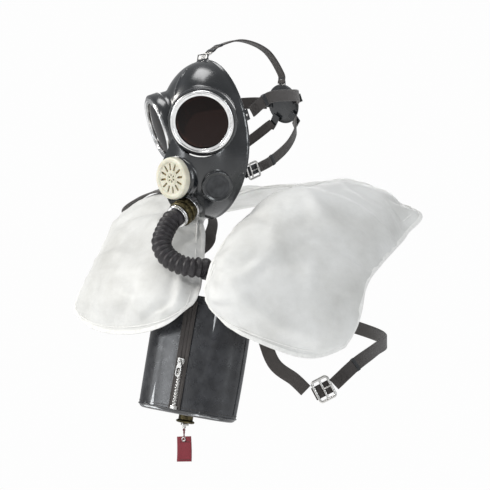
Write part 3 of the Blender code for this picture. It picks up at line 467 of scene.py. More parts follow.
def mesh_from(name, work):
    """The mesh of a bmesh, which is freed."""
    mesh = bpy.data.meshes.new(name)
    work.to_mesh(mesh)
    work.free()
    return mesh


def closed_mesh(name, work):
    """The mesh of a bmesh, with its faces turned outward."""
    bmesh.ops.recalc_face_normals(work, faces=work.faces)
    return mesh_from(name, work)


def soften(made, width, segments=2, degrees=35):
    """Round an object's sharp edges."""
    edge = made.modifiers.new("round", "BEVEL")
    edge.width = width
    edge.segments = segments
    edge.limit_method = "ANGLE"
    edge.angle_limit = math.radians(degrees)
    edge.harden_normals = False
    return made


def flatten(made):
    """Apply an object's modifiers to its mesh."""
    bpy.context.view_layer.update()
    evaluated = made.evaluated_get(bpy.context.evaluated_depsgraph_get())
    mesh = bpy.data.meshes.new_from_object(evaluated)
    made.modifiers.clear()
    made.data = mesh
    return made


def full_turn(count):
    """Angles at an even step round a circle."""
    return [2 * math.pi * k / count for k in range(count)]


def circle(radius, height, count):
    return [(radius * math.cos(a), radius * math.sin(a), height) for a in full_turn(count)]


def work_object(name, mesh):
    made = bpy.data.objects.new(name, mesh)
    bpy.context.scene.collection.objects.link(made)
    return made


def revolve(name, profile, steps=96):
    """A mesh from a profile of (radius, height) turned about Z."""
    work = bmesh.new()
    rows = []
    for radius, height in profile:
        if radius < 1e-7:
            rows.append([work.verts.new((0, 0, height))] * steps)
            continue
        rows.append([work.verts.new(point) for point in circle(radius, height, steps)])
    pairs = list(zip(rows, rows[1:]))
    if profile[0][0] > 1e-7:
        pairs.append((rows[-1], rows[0]))
    for upper, lower in pairs:
        for k in range(steps):
            after = (k + 1) % steps
            corners = []
            for corner in (upper[k], upper[after], lower[after], lower[k]):
                if corner not in corners:
                    corners.append(corner)
            work.faces.new(corners)
    return smooth(closed_mesh(name, work))


def turned(name, profile, skin, body, placed, stands_for=(), steps=96, round_edges=0.0004, slot=None):
    made = piece(name, revolve(name, profile, steps), skin, body, stands_for, placed)
    if round_edges:
        soften(made, round_edges)
        made.data.shade_smooth()
    return made


def loft_mesh(name, rings, closed=False, uv=None):
    """Skin a row of rings of equal count; open lofts get a flat cap at each end."""
    work = bmesh.new()
    rows = [[work.verts.new(point) for point in ring] for ring in rings]
    count = len(rows[0])
    layer = work.loops.layers.uv.new("UVMap") if uv else None
    pairs = list(zip(range(len(rows)), range(1, len(rows))))
    if closed:
        pairs.append((len(rows) - 1, 0))
    for i, j in pairs:
        for k in range(count):
            after = (k + 1) % count
            face = work.faces.new((rows[i][k], rows[i][after], rows[j][after], rows[j][k]))
            if layer:
                spots = (uv(i, k), uv(i, k + 1), uv(i + 1, k + 1), uv(i + 1, k))
                for corner, spot in zip(face.loops, spots):
                    corner[layer].uv = spot
    if not closed:
        work.faces.new(rows[0])
        work.faces.new(list(reversed(rows[-1])))
    return smooth(closed_mesh(name, work), 50)


def smooth_path(points, per_span):
    """Points along a Catmull-Rom curve through the given ones."""
    knots = [Vector(point) for point in points]
    ends = [2 * knots[0] - knots[1], *knots, 2 * knots[-1] - knots[-2]]
    path = []
    for a, b, c, d in zip(ends, ends[1:], ends[2:], ends[3:]):
        for k in range(per_span):
            t = k / per_span
            path.append(
                0.5
                * (
                    2 * b
                    + (c - a) * t
                    + (2 * a - 5 * b + 4 * c - d) * t**2
                    + (3 * b - a - 3 * c + d) * t**3
                )
            )
    path.append(knots[-1])
    return path


def path_frames(path, first_side=None, closed=False):
    """Centre, side, up and distance at each point of a path, without twist."""
    side = first_side
    rows = []
    travelled = 0.0
    count = len(path)
    for k, centre in enumerate(path):
        before = path[(k - 1) % count] if closed else path[max(k - 1, 0)]
        after = path[(k + 1) % count] if closed else path[min(k + 1, count - 1)]
        along = (after - before).normalized()
        if side is None:
            side = along.orthogonal()
        side = (side - along * side.dot(along)).normalized()
        if k:
            travelled += (centre - path[k - 1]).length
        rows.append((centre, side.copy(), along.cross(side).normalized(), travelled))
    return rows


def tube_mesh(name, path, radius, sides=16, closed=False):
    """A round bar along a path; radius is a number or a function of the distance."""
    rows = []
    for centre, side, up, travelled in path_frames(path, closed=closed):
        here = radius(travelled) if callable(radius) else radius
        turn = full_turn(sides)
        rows.append([centre + side * here * math.cos(a) + up * here * math.sin(a) for a in turn])
    return loft_mesh(name, rows, closed)


STRAP_SECTION = [
    (-0.5, -0.28), (-0.47, -0.46), (-0.42, -0.5), (-0.2, -0.46), (0.0, -0.45), (0.2, -0.46),
    (0.42, -0.5), (0.47, -0.46), (0.5, -0.28), (0.5, 0.28), (0.47, 0.46), (0.42, 0.5),
    (0.2, 0.46), (0.0, 0.45), (-0.2, 0.46), (-0.42, 0.5), (-0.47, 0.46), (-0.5, 0.28),
]


def strap_rows(stations, width, thickness, per_span):
    """Centre, across, outward and travelled distance along a strap's stations."""
    path = smooth_path([point for point, _ in stations], per_span)
    faces = smooth_path([face for _, face in stations], per_span)
    rows = []
    travelled = 0.0
    for k, centre in enumerate(path):
        before = path[max(k - 1, 0)]
        after = path[min(k + 1, len(path) - 1)]
        along = (after - before).normalized()
        side = along.cross(faces[k]).normalized()
        face = side.cross(along).normalized()
        if k:
            travelled += (centre - path[k - 1]).length
        rows.append((centre, side * width, face * thickness, travelled))
    return rows


def strap_rings(rows):
    """The webbing's section at each row of a strap."""
    return [[centre + across * x + deep * y for x, y in STRAP_SECTION] for centre, across, deep, _ in rows]


def strap(name, stations, width, thickness, skin, body, stands_for=(), placed=None, per_span=12):
    """Webbing with thick woven edges, and UVs in metres along and across it."""
    rows = strap_rows(stations, width, thickness, per_span)

    def spot(i, k):
        x = STRAP_SECTION[k % len(STRAP_SECTION)][0]
        travelled = rows[min(i, len(rows) - 1)][3]
        return travelled, x * width

    mesh = loft_mesh(name, strap_rings(rows), uv=spot)
    return piece(name, mesh, skin, body, stands_for, placed)


def add_bar(work, start, end, radius, sides=6):
    """A small round bar with domed ends, added to a bmesh."""
    along = (end - start).normalized()
    side = along.orthogonal().normalized()
    up = along.cross(side)
    rows = []
    dome = along * radius * 0.6
    levels = ((start - dome, 0.45), (start, 1), (end, 1), (end + dome, 0.45))
    for centre, share in levels:
        arms = [side * math.cos(a) + up * math.sin(a) for a in full_turn(sides)]
        rows.append([work.verts.new(centre + arm * radius * share) for arm in arms])
    for upper, lower in zip(rows, rows[1:]):
        for k in range(sides):
            after = (k + 1) % sides
            work.faces.new((upper[k], upper[after], lower[after], lower[k]))
    work.faces.new(list(reversed(rows[0])))
    work.faces.new(rows[-1])


def stitches(name, runs, body, skin="thread", pitch=0.0042, length=0.0030, radius=0.00042, placed=None):
    """Sewing along runs of points that lie on a surface: one short raised bar a stitch."""
    work = bmesh.new()
    for run in runs:
        left = 0.0
        for a, b in zip(run, run[1:]):
            span = (b - a).length
            if span < 1e-6:
                continue
            along = (b - a) / span
            reach = left
            while reach + length <= span:
                add_bar(work, a + along * reach, a + along * (reach + length), radius)
                reach += pitch
            left = max(reach - span, 0)
    return piece(name, smooth(closed_mesh(name, work), 60), skin, body, placed=placed)


def strap_box(stations, width, thickness, start, end, inset=0.0025, crossed=True, per_span=12):
    """Runs of a sewn box on a strap's outer face, from start to end metres along it."""
    rows = strap_rows(stations, width, thickness, per_span)
    inside = [row for row in rows if start <= row[3] <= end]
    if len(inside) < 2:
        return []
    share = 0.5 - inset / width
    edges = []
    for x in (-share, share):
        edges.append([c + a * x + d * 0.55 for c, a, d, _ in inside])
    first, last = inside[0], inside[-1]
    ends = []
    for c, a, d, _ in (first, last):
        ends.append([c - a * share + d * 0.55, c + a * share + d * 0.55])
    runs = [*edges, *ends]
    if crossed:
        runs.append([edges[0][0], edges[1][-1]])
        runs.append([edges[1][0], edges[0][-1]])
    return runs


def rounded_frame(half_x, half_z, corner, steps=8):
    """Centre line of a rectangle with round corners, in X and Z."""
    points = []
    for sx, sz, start in ((1, 1, 0), (-1, 1, 90), (-1, -1, 180), (1, -1, 270)):
        for k in range(steps + 1):
            angle = math.radians(start + 90 * k / steps)
            x = sx * (half_x - corner) + corner * math.cos(angle)
            z = sz * (half_z - corner) + corner * math.sin(angle)
            points.append(Vector((x, 0, z)))
    return points


def joined(name, meshes):
    """One mesh from several."""
    work = bmesh.new()
    for mesh in meshes:
        work.from_mesh(mesh)
    return smooth(mesh_from(name, work), 50)


def obround(width, depth, steps=16):
    """Outline of a straight-sided oval, with points along its straight sides too."""
    half = (width - depth) / 2
    radius = depth / 2
    points = []
    for centre, start in ((half, -90), (-half, 90)):
        for k in range(steps + 1):
            angle = math.radians(start + 180 * k / steps)
            points.append((centre + radius * math.cos(angle), radius * math.sin(angle)))
        y = radius if start == -90 else -radius
        run = -1 if start == -90 else 1
        for k in range(1, steps):
            points.append((run * (-half + 2 * half * k / steps), y))
    return points


def reskin(skin, *nodes):
    """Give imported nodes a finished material."""
    for node in nodes:
        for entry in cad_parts[node].material_slots:
            entry.material = SKINS[skin]


# ---------------------------------------------------------------- camera, light and floor

VIEW_AZIMUTH = math.radians(29)
VIEW_ELEVATION = math.radians(-6.5)
VIEW_DISTANCE = 5.0
VIEW_WIDTH = 0.745
VIEW_CENTRE = (-0.0185, -0.0535, 0.10)
SENSOR = 36.0
FLOOR_Z = -1.45


def look_at(obj, target):
    obj.rotation_euler = (target - obj.location).to_track_quat("-Z", "Y").to_euler()


def camera():
    """A long lens that looks at the front from the wearer's left and a little below."""
    towards = Vector(
        (
            math.sin(VIEW_AZIMUTH) * math.cos(VIEW_ELEVATION),
            -math.cos(VIEW_AZIMUTH) * math.cos(VIEW_ELEVATION),
            math.sin(VIEW_ELEVATION),
        )
    )
    right = Vector((math.cos(VIEW_AZIMUTH), math.sin(VIEW_AZIMUTH), 0))
    up = towards.cross(right)
    across, above, forward = VIEW_CENTRE
    target = right * across + up * above + towards * forward
    lens = bpy.data.cameras.new("camera")
    lens.sensor_width = SENSOR
    lens.lens = SENSOR * VIEW_DISTANCE / VIEW_WIDTH
    lens.clip_end = 100
    made = bpy.data.objects.new("camera", lens)
    bpy.context.scene.collection.objects.link(made)
    made.location = target + towards * VIEW_DISTANCE
    look_at(made, target)
    bpy.context.scene.camera = made


FLOOR_SIZE = 9.0
MIDDLE = (0, -0.05, -0.05)
CASE_MIDDLE = (0, -0.13, -0.25)
WARM = (1.0, 0.98, 0.94)
SOFT_WARM = (1.0, 0.99, 0.97)
COOL = (0.93, 0.97, 1.0)
SOFT_COOL = (0.94, 0.97, 1.0)
# Name, place, target, width and height in metres, power in watts, colour.
LIGHTS = [
    ("key", (-2.5, -1.9, 1.5), MIDDLE, 1.1, 1.1, 68, WARM),
    ("side", (2.5, -1.1, 0.3), MIDDLE, 0.4, 1.6, 15, COOL),
    ("front", (0.1, -3.0, 1.7), MIDDLE, 0.5, 0.5, 14, SOFT_WARM),
    ("sheen", (-1.75, -2.25, -0.1), CASE_MIDDLE, 0.5, 0.9, 9, SOFT_COOL),
    ("top", (0.0, -0.4, 2.8), MIDDLE, 1.3, 1.3, 30),
    ("back", (-0.6, 2.4, 1.2), MIDDLE, 1.6, 1.2, 18),
]
SURROUND = 0.36
BACKDROP = 0.985


def area_light(name, place, target, width, height, power, colour=(1, 1, 1)):
    light = bpy.data.lights.new(name, "AREA")
    light.shape = "RECTANGLE"
    light.size = width
    light.size_y = height
    light.energy = power
    light.color = colour
    made = bpy.data.objects.new(name, light)
    bpy.context.scene.collection.objects.link(made)
    made.location = place
    look_at(made, Vector(target))


def studio():
    """A white backdrop for the camera, a dimmer surround for the object, and soft boxes."""
    world = bpy.data.worlds.new("studio")
    world.use_nodes = True
    tree = world.node_tree
    surround = tree.nodes["Background"]
    surround.inputs["Strength"].default_value = SURROUND
    surround.inputs["Color"].default_value = (0.97, 0.98, 1.0, 1)
    backdrop = tree.nodes.new("ShaderNodeBackground")
    backdrop.inputs["Color"].default_value = (1.0, 1.0, 1.0, 1)
    backdrop.inputs["Strength"].default_value = BACKDROP
    sight = tree.nodes.new("ShaderNodeLightPath")
    chooser = tree.nodes.new("ShaderNodeMixShader")
    tree.links.new(sight.outputs["Is Camera Ray"], chooser.inputs[0])
    tree.links.new(surround.outputs[0], chooser.inputs[1])
    tree.links.new(backdrop.outputs[0], chooser.inputs[2])
    tree.links.new(chooser.outputs[0], tree.nodes["World Output"].inputs["Surface"])
    bpy.context.scene.world = world
    bpy.context.scene.view_settings.view_transform = "Standard"
    for light in LIGHTS:
        area_light(*light)
    work = bmesh.new()
    bmesh.ops.create_grid(work, x_segments=1, y_segments=1, size=FLOOR_SIZE)
    floor = work_object("floor", mesh_from("floor", work))
    floor.location = (0, 0, FLOOR_Z)
    paper = plain("studio_floor", (0.92, 0.92, 0.92), 0.7, grain=20, spread=0.02)
    shader = paper.node_tree.nodes["Principled BSDF"]
    shader.inputs["Emission Color"].default_value = (1.0, 1.0, 1.0, 1)
    shader.inputs["Emission Strength"].default_value = 0.28
    floor.data.materials.append(paper)


# ---------------------------------------------------------------- mask


def face_rim(angle):
    """Point of the mask's rear edge; angle 0 is the forehead, 90 degrees the left temple."""
    lift = math.cos(angle)
    x = RIM_HALF_WIDTH * math.sin(angle)
    z = RIM_CENTRE_Z + lift * (RIM_UP if lift > 0 else RIM_DOWN)
    y = 0.009 - 0.002 * max(lift, 0) - 0.024 * min(lift, 0) ** 2
    return Vector((x, y, z))


def face_point(angle, reach):
    """Point of the mask's outer surface; reach is 1 at the rear edge and 0 at the front."""
    edge = face_rim(angle)
    depth = max(1 - reach**2.5, 0) ** 0.5
    x = reach * edge.x
    z = FACE_FRONT_Z + reach * (edge.z - FACE_FRONT_Z)
    return Vector((x, edge.y + (FACE_FRONT_Y - edge.y) * depth, z))


def face_reaches(count):
    """Reaches from the rear edge to just short of the front, closer together near the edge."""
    return [math.sin(math.pi / 2 * (1 - k / count)) ** 0.8 for k in range(count)]


def dome_mesh():
    around = 120
    reaches = face_reaches(40)
    work = bmesh.new()
    angles = full_turn(around)
    rows = [[work.verts.new(face_point(angle, reach)) for angle in angles] for reach in reaches]
    for outer, inner in zip(rows, rows[1:]):
        for k in range(around):
            after = (k + 1) % around
            work.faces.new((outer[k], outer[after], inner[after], inner[k]))
    front = work.verts.new(face_point(0, 0))
    for k in range(around):
        work.faces.new((rows[-1][k], rows[-1][(k + 1) % around], front))
    bmesh.ops.recalc_face_normals(work, faces=work.faces)
    if front.normal.y > 0:
        bmesh.ops.reverse_faces(work, faces=work.faces)
    return mesh_from("dome", work)


def inner_room_mesh():
    """The space of the wearer's face, which trims whatever reaches into the mask."""
    around = 96
    shrink = RUBBER + 0.0006
    rings = []
    for reach in face_reaches(24):
        row = []
        for angle in full_turn(around):
            place = face_point(angle, reach)
            flat = Vector((place.x, 0, place.z - FACE_FRONT_Z))
            flat *= 1 - shrink / max(flat.length, 0.02)
            row.append(Vector((flat.x, place.y + shrink, flat.z + FACE_FRONT_Z)))
        rings.append(row)
    back = [Vector((p.x, 0.016, p.z)) for p in rings[0]]
    return loft_mesh("inner_room", [back, *rings])


def rod_mesh(radius, low, high, placed, steps=64):
    mesh = revolve("rod", [(0, high), (radius, high), (radius, low), (0, low)], steps)
    mesh.transform(placed)
    return mesh


LUGS = {
    "forehead": ((0, 0.0060, 0.0945), (0, 0.35, 0.94), 0.019, 0.024),
    "temple_left": ((0.0695, 0.010, 0.002), (0.02, 0.97, 0.24), 0.018, 0.018),
    "temple_right": ((-0.0695, 0.010, 0.002), (-0.02, 0.97, 0.24), 0.018, 0.018),
    "cheek_left": ((0.0605, -0.003, -0.0835), (0.12, 0.99, 0.06), 0.013, 0.014),
    "cheek_right": ((-0.0605, -0.003, -0.0835), (-0.12, 0.99, 0.06), 0.013, 0.014),
}
LUG_THICKNESS = 0.0034
BOSS_RADIUS = 0.0220


def lug_mesh(centre, direction, length, width):
    outward = Vector((centre[0], 0, 0)) if abs(centre[0]) > 0.01 else Vector((0, 0, 1))
    ends = [
        (Vector(centre) - Vector(direction) * length * 0.4, outward.normalized()),
        (Vector(centre) + Vector(direction) * length * 0.6, outward.normalized()),
    ]
    return loft_mesh("lug", strap_rings(strap_rows(ends, width, LUG_THICKNESS, 4)))


def boss_place(side):
    axis = Vector((side * 0.80, -0.55, -0.22)).normalized()
    return frame_along((side * 0.051, -0.048, -0.0995), axis)


def apply_boolean(target, meshes):
    """Take each mesh out of the target in turn."""
    for k, mesh in enumerate(meshes):
        cutter = work_object(f"cutter_{k}", mesh)
        tool = target.modifiers.new("tool", "BOOLEAN")
        tool.operation = "DIFFERENCE"
        tool.solver = "MANIFOLD"
        tool.object = cutter
        flatten(target)
        bpy.data.objects.remove(cutter, do_unlink=True)


def carved(mesh, cutters, degrees):
    """A mesh with the cutters' shapes taken out of it."""
    work = work_object("carving", mesh)
    apply_boolean(work, cutters)
    mesh = smooth(work.data, degrees)
    bpy.data.objects.remove(work, do_unlink=True)
    return mesh


def remesh(made, voxel):
    cells = made.modifiers.new("cells", "REMESH")
    cells.mode = "VOXEL"
    cells.voxel_size = voxel
    flatten(made)


def relax(made, rounds, factor=0.5):
    even = made.modifiers.new("even", "SMOOTH")
    even.iterations = rounds
    even.factor = factor
    flatten(made)


def facepiece():
    """One moulded skin: dome, lens seats, snout, spout, cheek bosses, lugs and rolled edge."""
    dome = work_object("dome_work", dome_mesh())
    wall = dome.modifiers.new("wall", "SOLIDIFY")
    wall.thickness = RUBBER
    wall.offset = -1
    flatten(dome)
    parts = [dome.data]
    snout = frame_along((0, 0, VOICE_Z), (0, -1, 0))
    spout = frame_along(SPOUT_BASE, SPOUT_AXIS)
    for side in (1, -1):
        seat = lens_frame(side)
        parts.append(rod_mesh(LENS_RIM_RADIUS + 0.0006, -0.026, -0.0052, seat, 96))
        parts.append(rod_mesh(LENS_RIM_RADIUS + 0.0024, -0.026, -0.0078, seat, 96))
        parts.append(rod_mesh(BOSS_RADIUS, -0.012, 0.0020, boss_place(side)))
        ring_path = [boss_place(side) @ Vector(p) for p in circle(BOSS_RADIUS, 0.0014, 48)]
        parts.append(tube_mesh("boss_lip", ring_path, 0.0022, 12, True))
    parts.append(rod_mesh(0.0300, 0.058, 0.0835, snout))
    parts.append(rod_mesh(0.0320, 0.058, 0.0770, snout))
    for spec in LUGS.values():
        parts.append(lug_mesh(*spec))
    edge = []
    for angle in full_turn(140):
        p = face_rim(angle)
        edge.append(Vector((p.x * 0.992, p.y + 0.0006, RIM_CENTRE_Z + (p.z - RIM_CENTRE_Z) * 0.995)))
    parts.append(tube_mesh("edge_bead", edge, 0.0027, 12, True))
    ridge = [face_point(0, r) + Vector((0, -0.0004, 0.0002)) for r in (0.93, 0.86, 0.79, 0.72, 0.65)]
    parts.append(tube_mesh("brow_rib", ridge, 0.0016, 10))
    body = work_object("facepiece_skin", joined("facepiece_skin", parts))
    bpy.data.objects.remove(dome, do_unlink=True)
    voxel = FINE_VOXEL
    remesh(body, voxel)
    apply_boolean(body, [rod_mesh(0.0194, 0.0172, 0.045, spout)])
    spout_wall = joined("spout_wall", [body.data, rod_mesh(0.0168, -0.012, 0.0215, spout)])
    bpy.data.objects.remove(body, do_unlink=True)
    body = work_object("spout_wall", spout_wall)
    remesh(body, voxel)
    holes = [rod_mesh(LENS_HOLE_RADIUS - 0.0006, -0.034, 0.03, lens_frame(side), 96) for side in (1, -1)]
    holes += [rod_mesh(LENS_RIM_RADIUS + 0.0030, -0.0050, 0.050, lens_frame(side), 96) for side in (1, -1)]
    holes.append(rod_mesh(0.0135, -0.03, 0.03, spout))
    holes.append(rod_mesh(0.0273, 0.045, 0.10, snout))
    holes.append(inner_room_mesh())
    apply_boolean(body, holes)
    relax(body, 5)
    mesh = smooth(body.data, 60)
    bpy.data.objects.remove(body, do_unlink=True)
    piece("facepiece_skin", mesh, "rubber", MASK, ("facepiece",), MASK_FRAME)


def boss_caps():
    """The matt moulded plug face of each cheek boss, with a fine ring and centre dimple."""
    profile = [
        (0, 0.0018), (0.0030, 0.0018), (0.0038, 0.0012), (0.0070, 0.0012), (0.0120, 0.0014),
        (0.0124, 0.0020), (0.0165, 0.0020), (0.0170, 0.0012), (0.0194, 0.0010), (0.0194, -0.0010),
        (0, -0.0010),
    ]
    for side, label in SIDES:
        place = MASK_FRAME @ boss_place(side) @ Matrix.Translation((0, 0, 0.0012))
        turned(f"cheek_plug_{label}", profile, "matt_rubber", MASK, place, steps=72, slot="black_rubber")


def seal_flap():
    """The thin flap that turns in round the face opening, with a soft wave along its lip."""
    around = 160
    rings = []
    for angle in full_turn(around):
        edge = face_rim(angle)
        flat = Vector((edge.x, 0, edge.z - RIM_CENTRE_Z))
        out = flat.normalized()
        ripple = 0.0004 * math.sin(9 * angle) + 0.0003 * math.sin(23 * angle)
        row = []
        for share, lift in ((0, 0), (0.3, 0.0012), (0.6, 0.0026), (0.85, 0.0034), (1, 0.0036)):
            base = Vector((edge.x, edge.y - 0.001, edge.z)) - out * (0.0040 + 0.0115 * share)
            row.append(base + Vector((0, lift + ripple * share + 0.0004, 0)))
        back = [point - Vector((0, 0.0011, 0)) + out * 0.0002 for point in reversed(row)]
        rings.append([*row, *back])
    mesh = loft_mesh("seal_flap", rings, True)
    piece("seal_flap", mesh, "rubber", MASK, ("face_seal",), MASK_FRAME)


def lens_sleeves():
    """The moulded throat behind each eyepiece, which joins its seat to the mask's skin."""
    inner = LENS_HOLE_RADIUS + 0.0003
    profile = [
        (inner, -0.0056), (LENS_RIM_RADIUS + 0.0006, -0.0056), (LENS_RIM_RADIUS + 0.0008, 0.0018),
        (LENS_RIM_RADIUS + 0.0020, 0.0026), (LENS_RIM_RADIUS + 0.0036, 0.0022),
        (LENS_RIM_RADIUS + 0.0044, 0.0008), (LENS_RIM_RADIUS + 0.0044, -0.0130),
        (LENS_RIM_RADIUS + 0.0010, -0.0180), (inner, -0.0190),
    ]
    for side, label in SIDES:
        place = MASK_FRAME @ lens_frame(side)
        turned(f"lens_sleeve_{label}", profile, "rubber", MASK, place, slot="black_rubber")


LENS_SCREW = [(0, 0.0022), (0.0011, 0.0021), (0.0016, 0.0014), (0.0016, -0.0016), (0, -0.0016)]


def lenses():
    """Each eyepiece: rubber seat, domed glass, bright rim and two small screws."""
    for side, label in SIDES:
        place = MASK_FRAME @ lens_frame(side)
        gasket = [
            (LENS_HOLE_RADIUS - 0.0010, -0.0010), (LENS_RIM_RADIUS - 0.0030, -0.0008),
            (LENS_RIM_RADIUS + 0.0004, -0.0018), (LENS_RIM_RADIUS + 0.0012, -0.0034),
            (LENS_RIM_RADIUS + 0.0006, -0.0055), (LENS_HOLE_RADIUS - 0.0010, -0.0055),
        ]
        turned(f"lens_seat_{label}", gasket, "rubber", MASK, place, (f"lens_gasket_{label}",), 128)
        dome = []
        for k in range(LENS_RINGS + 1):
            share = k / LENS_RINGS
            dome.append((LENS_RADIUS * k / LENS_RINGS, LENS_BULGE * (1 - share**2) + 0.0010))
        glass = [*dome, (LENS_RADIUS, -0.0006), (LENS_RADIUS * 0.5, -0.0004), (0, -0.0002)]
        turned(f"lens_glass_{label}", glass, "glass", MASK, place, (f"lens_{label}",), 128, 0, "glass")
        rim = [(LENS_RADIUS - 0.0022, 0.0022), (LENS_RADIUS - 0.0018, 0.0042)]
        for k in range(9):
            angle = math.radians(150 - 150 * k / 8)
            rim.append(
                (LENS_RIM_RADIUS - 0.0021 + 0.0026 * math.cos(angle), 0.0034 + 0.0022 * math.sin(angle))
            )
        rim += [
            (LENS_RIM_RADIUS + 0.0005, 0.0010), (LENS_RIM_RADIUS + 0.0010, 0.0004),
            (LENS_RIM_RADIUS + 0.0010, -0.0012), (LENS_RADIUS + 0.0006, -0.0012),
            (LENS_RADIUS + 0.0006, 0.0020),
        ]
        turned(f"lens_ring_{label}", rim, "rim", MASK, place, (f"lens_rim_{label}",), 160, 0.0002)
        screws = []
        for angle in (35, 215):
            reach = Matrix.Translation((LENS_RIM_RADIUS + 0.0004, 0, 0.0008))
            screw = revolve("screw", LENS_SCREW, 20)
            screw.transform(Matrix.Rotation(math.radians(angle), 4, "Z") @ reach)
            screws.append(screw)
        piece(f"lens_screws_{label}", joined("screws", screws), "steel", MASK, placed=place)


def speech_unit():
    """The voice unit: seat, film, perforated cover with slots, and its knurled edge."""
    place = MASK_FRAME @ frame_along((0, 0, VOICE_Z), (0, -1, 0))
    front = -VOICE_FRONT_Y
    housing = [
        (0.0225, front - 0.0068), (0.0300, front - 0.0068), (0.0300, front - 0.0100),
        (0.0269, front - 0.0100), (0.0269, 0.0700), (0.0225, 0.0700),
    ]
    turned("speech_seat", housing, "aluminium", MASK, place, ("speech_housing",), 96)
    film = [(0, front - 0.0056)]
    for k in range(1, 10):
        wave = 0.00022 * math.cos(k * math.pi)
        film.append((0.0285 * k / 9, front - 0.0058 + wave))
    film += [(0.0285, front - 0.0064), (0, front - 0.0064)]
    turned("speech_film", film, "amber", MASK, place, ("speech_diaphragm",), 96, 0)
    cap = [
        (0, front - 0.0020), (0.0075, front - 0.0020), (0.0082, front - 0.0012),
        (0.0096, front - 0.0012), (0.0103, front - 0.0020), (0.0236, front - 0.0020),
        (0.0250, front - 0.0006), (0.0262, front), (0.0292, front), (0.0312, front - 0.0010),
        (VOICE_RADIUS, front - 0.0028), (VOICE_RADIUS, front - 0.0095), (0.0304, front - 0.0095),
        (0.0304, front - 0.0052), (0.0250, front - 0.0045), (0, front - 0.0045),
    ]
    slots = []
    for angle in full_turn(12):
        spin = Matrix.Rotation(angle, 4, "Z")
        slots.append(slot_mesh(0.0135, 0.0215, 0.0016, front - 0.010, front + 0.004, spin))
    for k in range(6):
        spin = Matrix.Rotation(2 * math.pi * (k + 0.5) / 6, 4, "Z")
        slots.append(slot_mesh(0.0040, 0.0056, 0.0012, front - 0.010, front + 0.004, spin))
    mesh = carved(revolve("cover", cap, 144), slots, 30)
    made = piece("speech_cover", mesh, "ivory", MASK, ("speech_cap",), place)
    soften(made, 0.00025, 2, 40)
    knurl = bmesh.new()
    for angle in full_turn(60):
        arm = Vector((math.cos(angle), math.sin(angle), 0)) * (VOICE_RADIUS - 0.0002)
        low, high = Vector((0, 0, front - 0.0088)), Vector((0, 0, front - 0.0036))
        add_bar(knurl, arm + low, arm + high, 0.0006)
    mesh = smooth(closed_mesh("knurl", knurl), 60)
    piece("speech_cover_grip", mesh, "ivory", MASK, placed=place)


def slot_mesh(inner, outer, half_width, low, high, placed):
    """A round-ended slot along X, from inner to outer, as a cutter."""
    outline = []
    for centre, start in ((outer, -90), (inner, 90)):
        for k in range(9):
            angle = math.radians(start + 180 * k / 8)
            outline.append((centre + half_width * math.cos(angle), half_width * math.sin(angle)))
    rings = [[Vector((x, y, z)) for x, y in outline] for z in (low, high)]
    mesh = loft_mesh("slot", rings)
    mesh.transform(placed)
    return mesh


def coupling():
    """The clamp on the spout, the nipple and the ribbed union nut."""
    place = SPOUT_FRAME
    clamp = [
        (0.0172, 0.0217), (0.0184, 0.0217), (0.0188, 0.0212), (0.0186, 0.0197), (0.0188, 0.0182),
        (0.0184, 0.0176), (0.0172, 0.0176),
    ]
    turned("spout_band", clamp, "rim", MASK, place, ("spout_clamp_ring",), 96, 0.0002)
    nipple = [
        (0.0110, 0.0512), (0.0128, 0.0512), (0.0128, 0.0440), (0.0150, 0.0440), (0.0150, 0.0395),
        (0.0172, 0.0385), (0.0172, 0.0225), (0.0132, 0.0225), (0.0132, 0.0060), (0.0110, 0.0060),
    ]
    turned("nipple", nipple, "brass", MASK, place, ("coupling_nipple",), 96)
    nut = [
        (0.0153, 0.0432), (0.0184, 0.0432), (0.0196, 0.0424), (0.0200, 0.0414), (0.0200, 0.0376),
        (0.0196, 0.0366), (0.0180, 0.0360), (0.0180, 0.0335), (0.0196, 0.0329), (0.0200, 0.0319),
        (0.0200, 0.0281), (0.0196, 0.0271), (0.0180, 0.0265), (0.0180, 0.0230), (0.0175, 0.0230),
        (0.0175, 0.0390), (0.0153, 0.0398),
    ]
    cuts = []
    for k in range(18):
        spin = Matrix.Rotation(2 * math.pi * (k + 0.5) / 18, 4, "Z") @ Matrix.Translation((0.0209, 0, 0))
        cuts.append(rod_mesh(0.0013, 0.020, 0.050, spin, 16))
    mesh = carved(revolve("nut", nut, 144), cuts, 35)
    made = piece("ribbed_nut", mesh, "brass", "coupling_nut", ("coupling_nut",), place)
    soften(made, 0.0002, 2, 40)
    hose_band("hose_band_upper", 0.0178, 0.0131, 0.0446, 0.0508, MASK, place, "hose_ring_upper")


def hose_band(name, outer, inner, low, high, body, place, node):
    """A bright hose band: rolled edges, a shallow waist and a small clamping screw."""
    middle = (low + high) / 2
    band = [
        (inner, high), (outer - 0.0007, high), (outer, high - 0.0006), (outer, high - 0.0014),
        (outer - 0.0005, high - 0.0019), (outer - 0.0005, low + 0.0019), (outer, low + 0.0014),
        (outer, low + 0.0006), (outer - 0.0007, low), (inner, low),
    ]
    turned(name, band, "rim", body, place, (node,), 112, 0.0002)
    spot = place @ Matrix.Translation((0, outer - 0.0006, middle))
    turn = Matrix.Rotation(math.radians(-90), 4, "X")
    head = [(0, 0.0016), (0.0014, 0.0016), (0.0018, 0.0012), (0.0018, -0.0006), (0, -0.0006)]
    turned(name + "_screw", head, "steel", body, spot @ turn, steps=32, round_edges=0.0002, slot="steel")


# ---------------------------------------------------------------- hose


